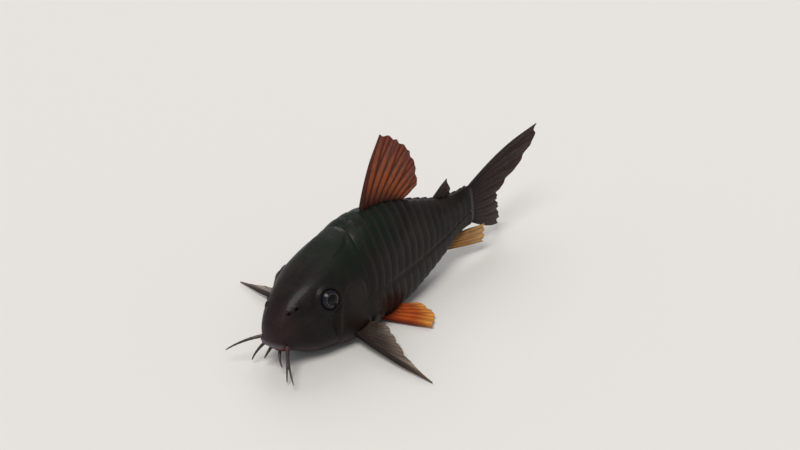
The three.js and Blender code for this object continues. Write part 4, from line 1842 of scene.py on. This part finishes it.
@dataclass(frozen=True)
class SoftSun:
    """A soft far light that faces the origin, and the angle that it fills, in degrees."""

    name: str
    place: Triple
    spread: float
    strength: float
    colour: Colour

    def hang(self) -> None:
        """Hangs the light."""
        light = bpy.data.lights.new(self.name, "SUN")
        light.angle = float(np.radians(self.spread))
        light.energy = self.strength
        light.color = self.colour
        lamp = bpy.data.objects.new(self.name, light)
        turn = (-Vector(self.place)).to_track_quat("-Z", "Y").to_matrix().to_4x4()
        lamp.matrix_world = Matrix.Translation(self.place) @ turn
        bpy.context.scene.collection.objects.link(lamp)


@dataclass(frozen=True)
class Stage:
    """A plain pale floor with soft studio light."""

    half: float = 1.6
    depth: float = 0.02 * MM
    sky: Colour = (0.93, 0.95, 1.0)
    sky_strength: float = 0.42
    key: SoftSun = SoftSun("key", (-0.5, -0.25, 1.0), 28.0, 1.9, (1.0, 0.965, 0.91))
    rim: SoftSun = SoftSun("rim", (0.7, 0.6, 0.75), 40.0, 0.9, (1.0, 0.98, 0.95))

    def floor(self) -> None:
        """Lays the floor just under the fish."""
        x, y = np.meshgrid([-self.half, self.half], [-self.half, self.half])
        surface = Surface(stack(x, y, -self.depth).reshape(-1, 3), np.array([[0, 1, 3, 2]]))
        floor = surface.build("floor")
        floor.data.materials.append(FloorFinish().material())

    def sky_light(self) -> None:
        """Lights the scene evenly from all round."""
        world = bpy.data.worlds.new("studio")
        world.use_nodes = True
        background = world.node_tree.nodes["Background"]
        background.inputs["Color"].default_value = (*self.sky, 1.0)
        background.inputs["Strength"].default_value = self.sky_strength
        bpy.context.scene.world = world

    def build(self) -> None:
        """Builds floor and lights."""
        self.floor()
        self.sky_light()
        self.key.hang()
        self.rim.hang()


@dataclass(frozen=True)
class View:
    """The camera, placed by the angle that the fish is seen from."""

    azimuth: float = -44.0
    elevation: float = 28.0
    roll: float = -4.3
    distance: float = 298.0 * MM
    lens_pixels: float = 1800.0
    picture_width: float = 800.0
    sensor: float = 36.0
    target: Triple = (5.0 * MM, 0.0, 10.0 * MM)
    off_centre: Pair = (-32.4, 31.4)
    near: float = 10.0 * MM

    def axes(self) -> tuple[Vector, Vector, Vector]:
        """Works out which way the camera is turned.

        Returns:
            Its right, up and backward directions.
        """
        turn, rise, roll = np.radians([self.azimuth, self.elevation, self.roll])
        back = Vector((np.sin(turn) * np.cos(rise), -np.cos(turn) * np.cos(rise), np.sin(rise)))
        level = Vector((np.cos(turn), np.sin(turn), 0.0))
        upright = back.cross(level)
        right = level * float(np.cos(roll)) + upright * float(np.sin(roll))
        up = upright * float(np.cos(roll)) - level * float(np.sin(roll))
        return right, up, back

    def build(self) -> None:
        """Places the camera, turned so that the target falls off centre as it does in the picture."""
        right, up, back = self.axes()
        metres_per_pixel = self.distance / self.lens_pixels
        aim = Vector(self.target) - right * (self.off_centre[0] * metres_per_pixel)
        aim = aim + up * (self.off_centre[1] * metres_per_pixel)
        data = bpy.data.cameras.new("view")
        data.sensor_width = self.sensor
        data.lens = self.lens_pixels / self.picture_width * self.sensor
        data.clip_start = self.near
        camera = bpy.data.objects.new("view", data)
        turned = Matrix((right, up, back)).transposed().to_4x4()
        camera.matrix_world = Matrix.Translation(aim + back * self.distance) @ turned
        bpy.context.scene.collection.objects.link(camera)
        bpy.context.scene.camera = camera


def main() -> None:
    """Builds the fish, its stage and the camera."""
    logging.basicConfig(level=logging.INFO, format="%(message)s")
    bpy.context.scene.view_settings.view_transform = "Standard"
    Fish().build()
    Stage().build()
    View().build()


if __name__ == "__main__":
    main()
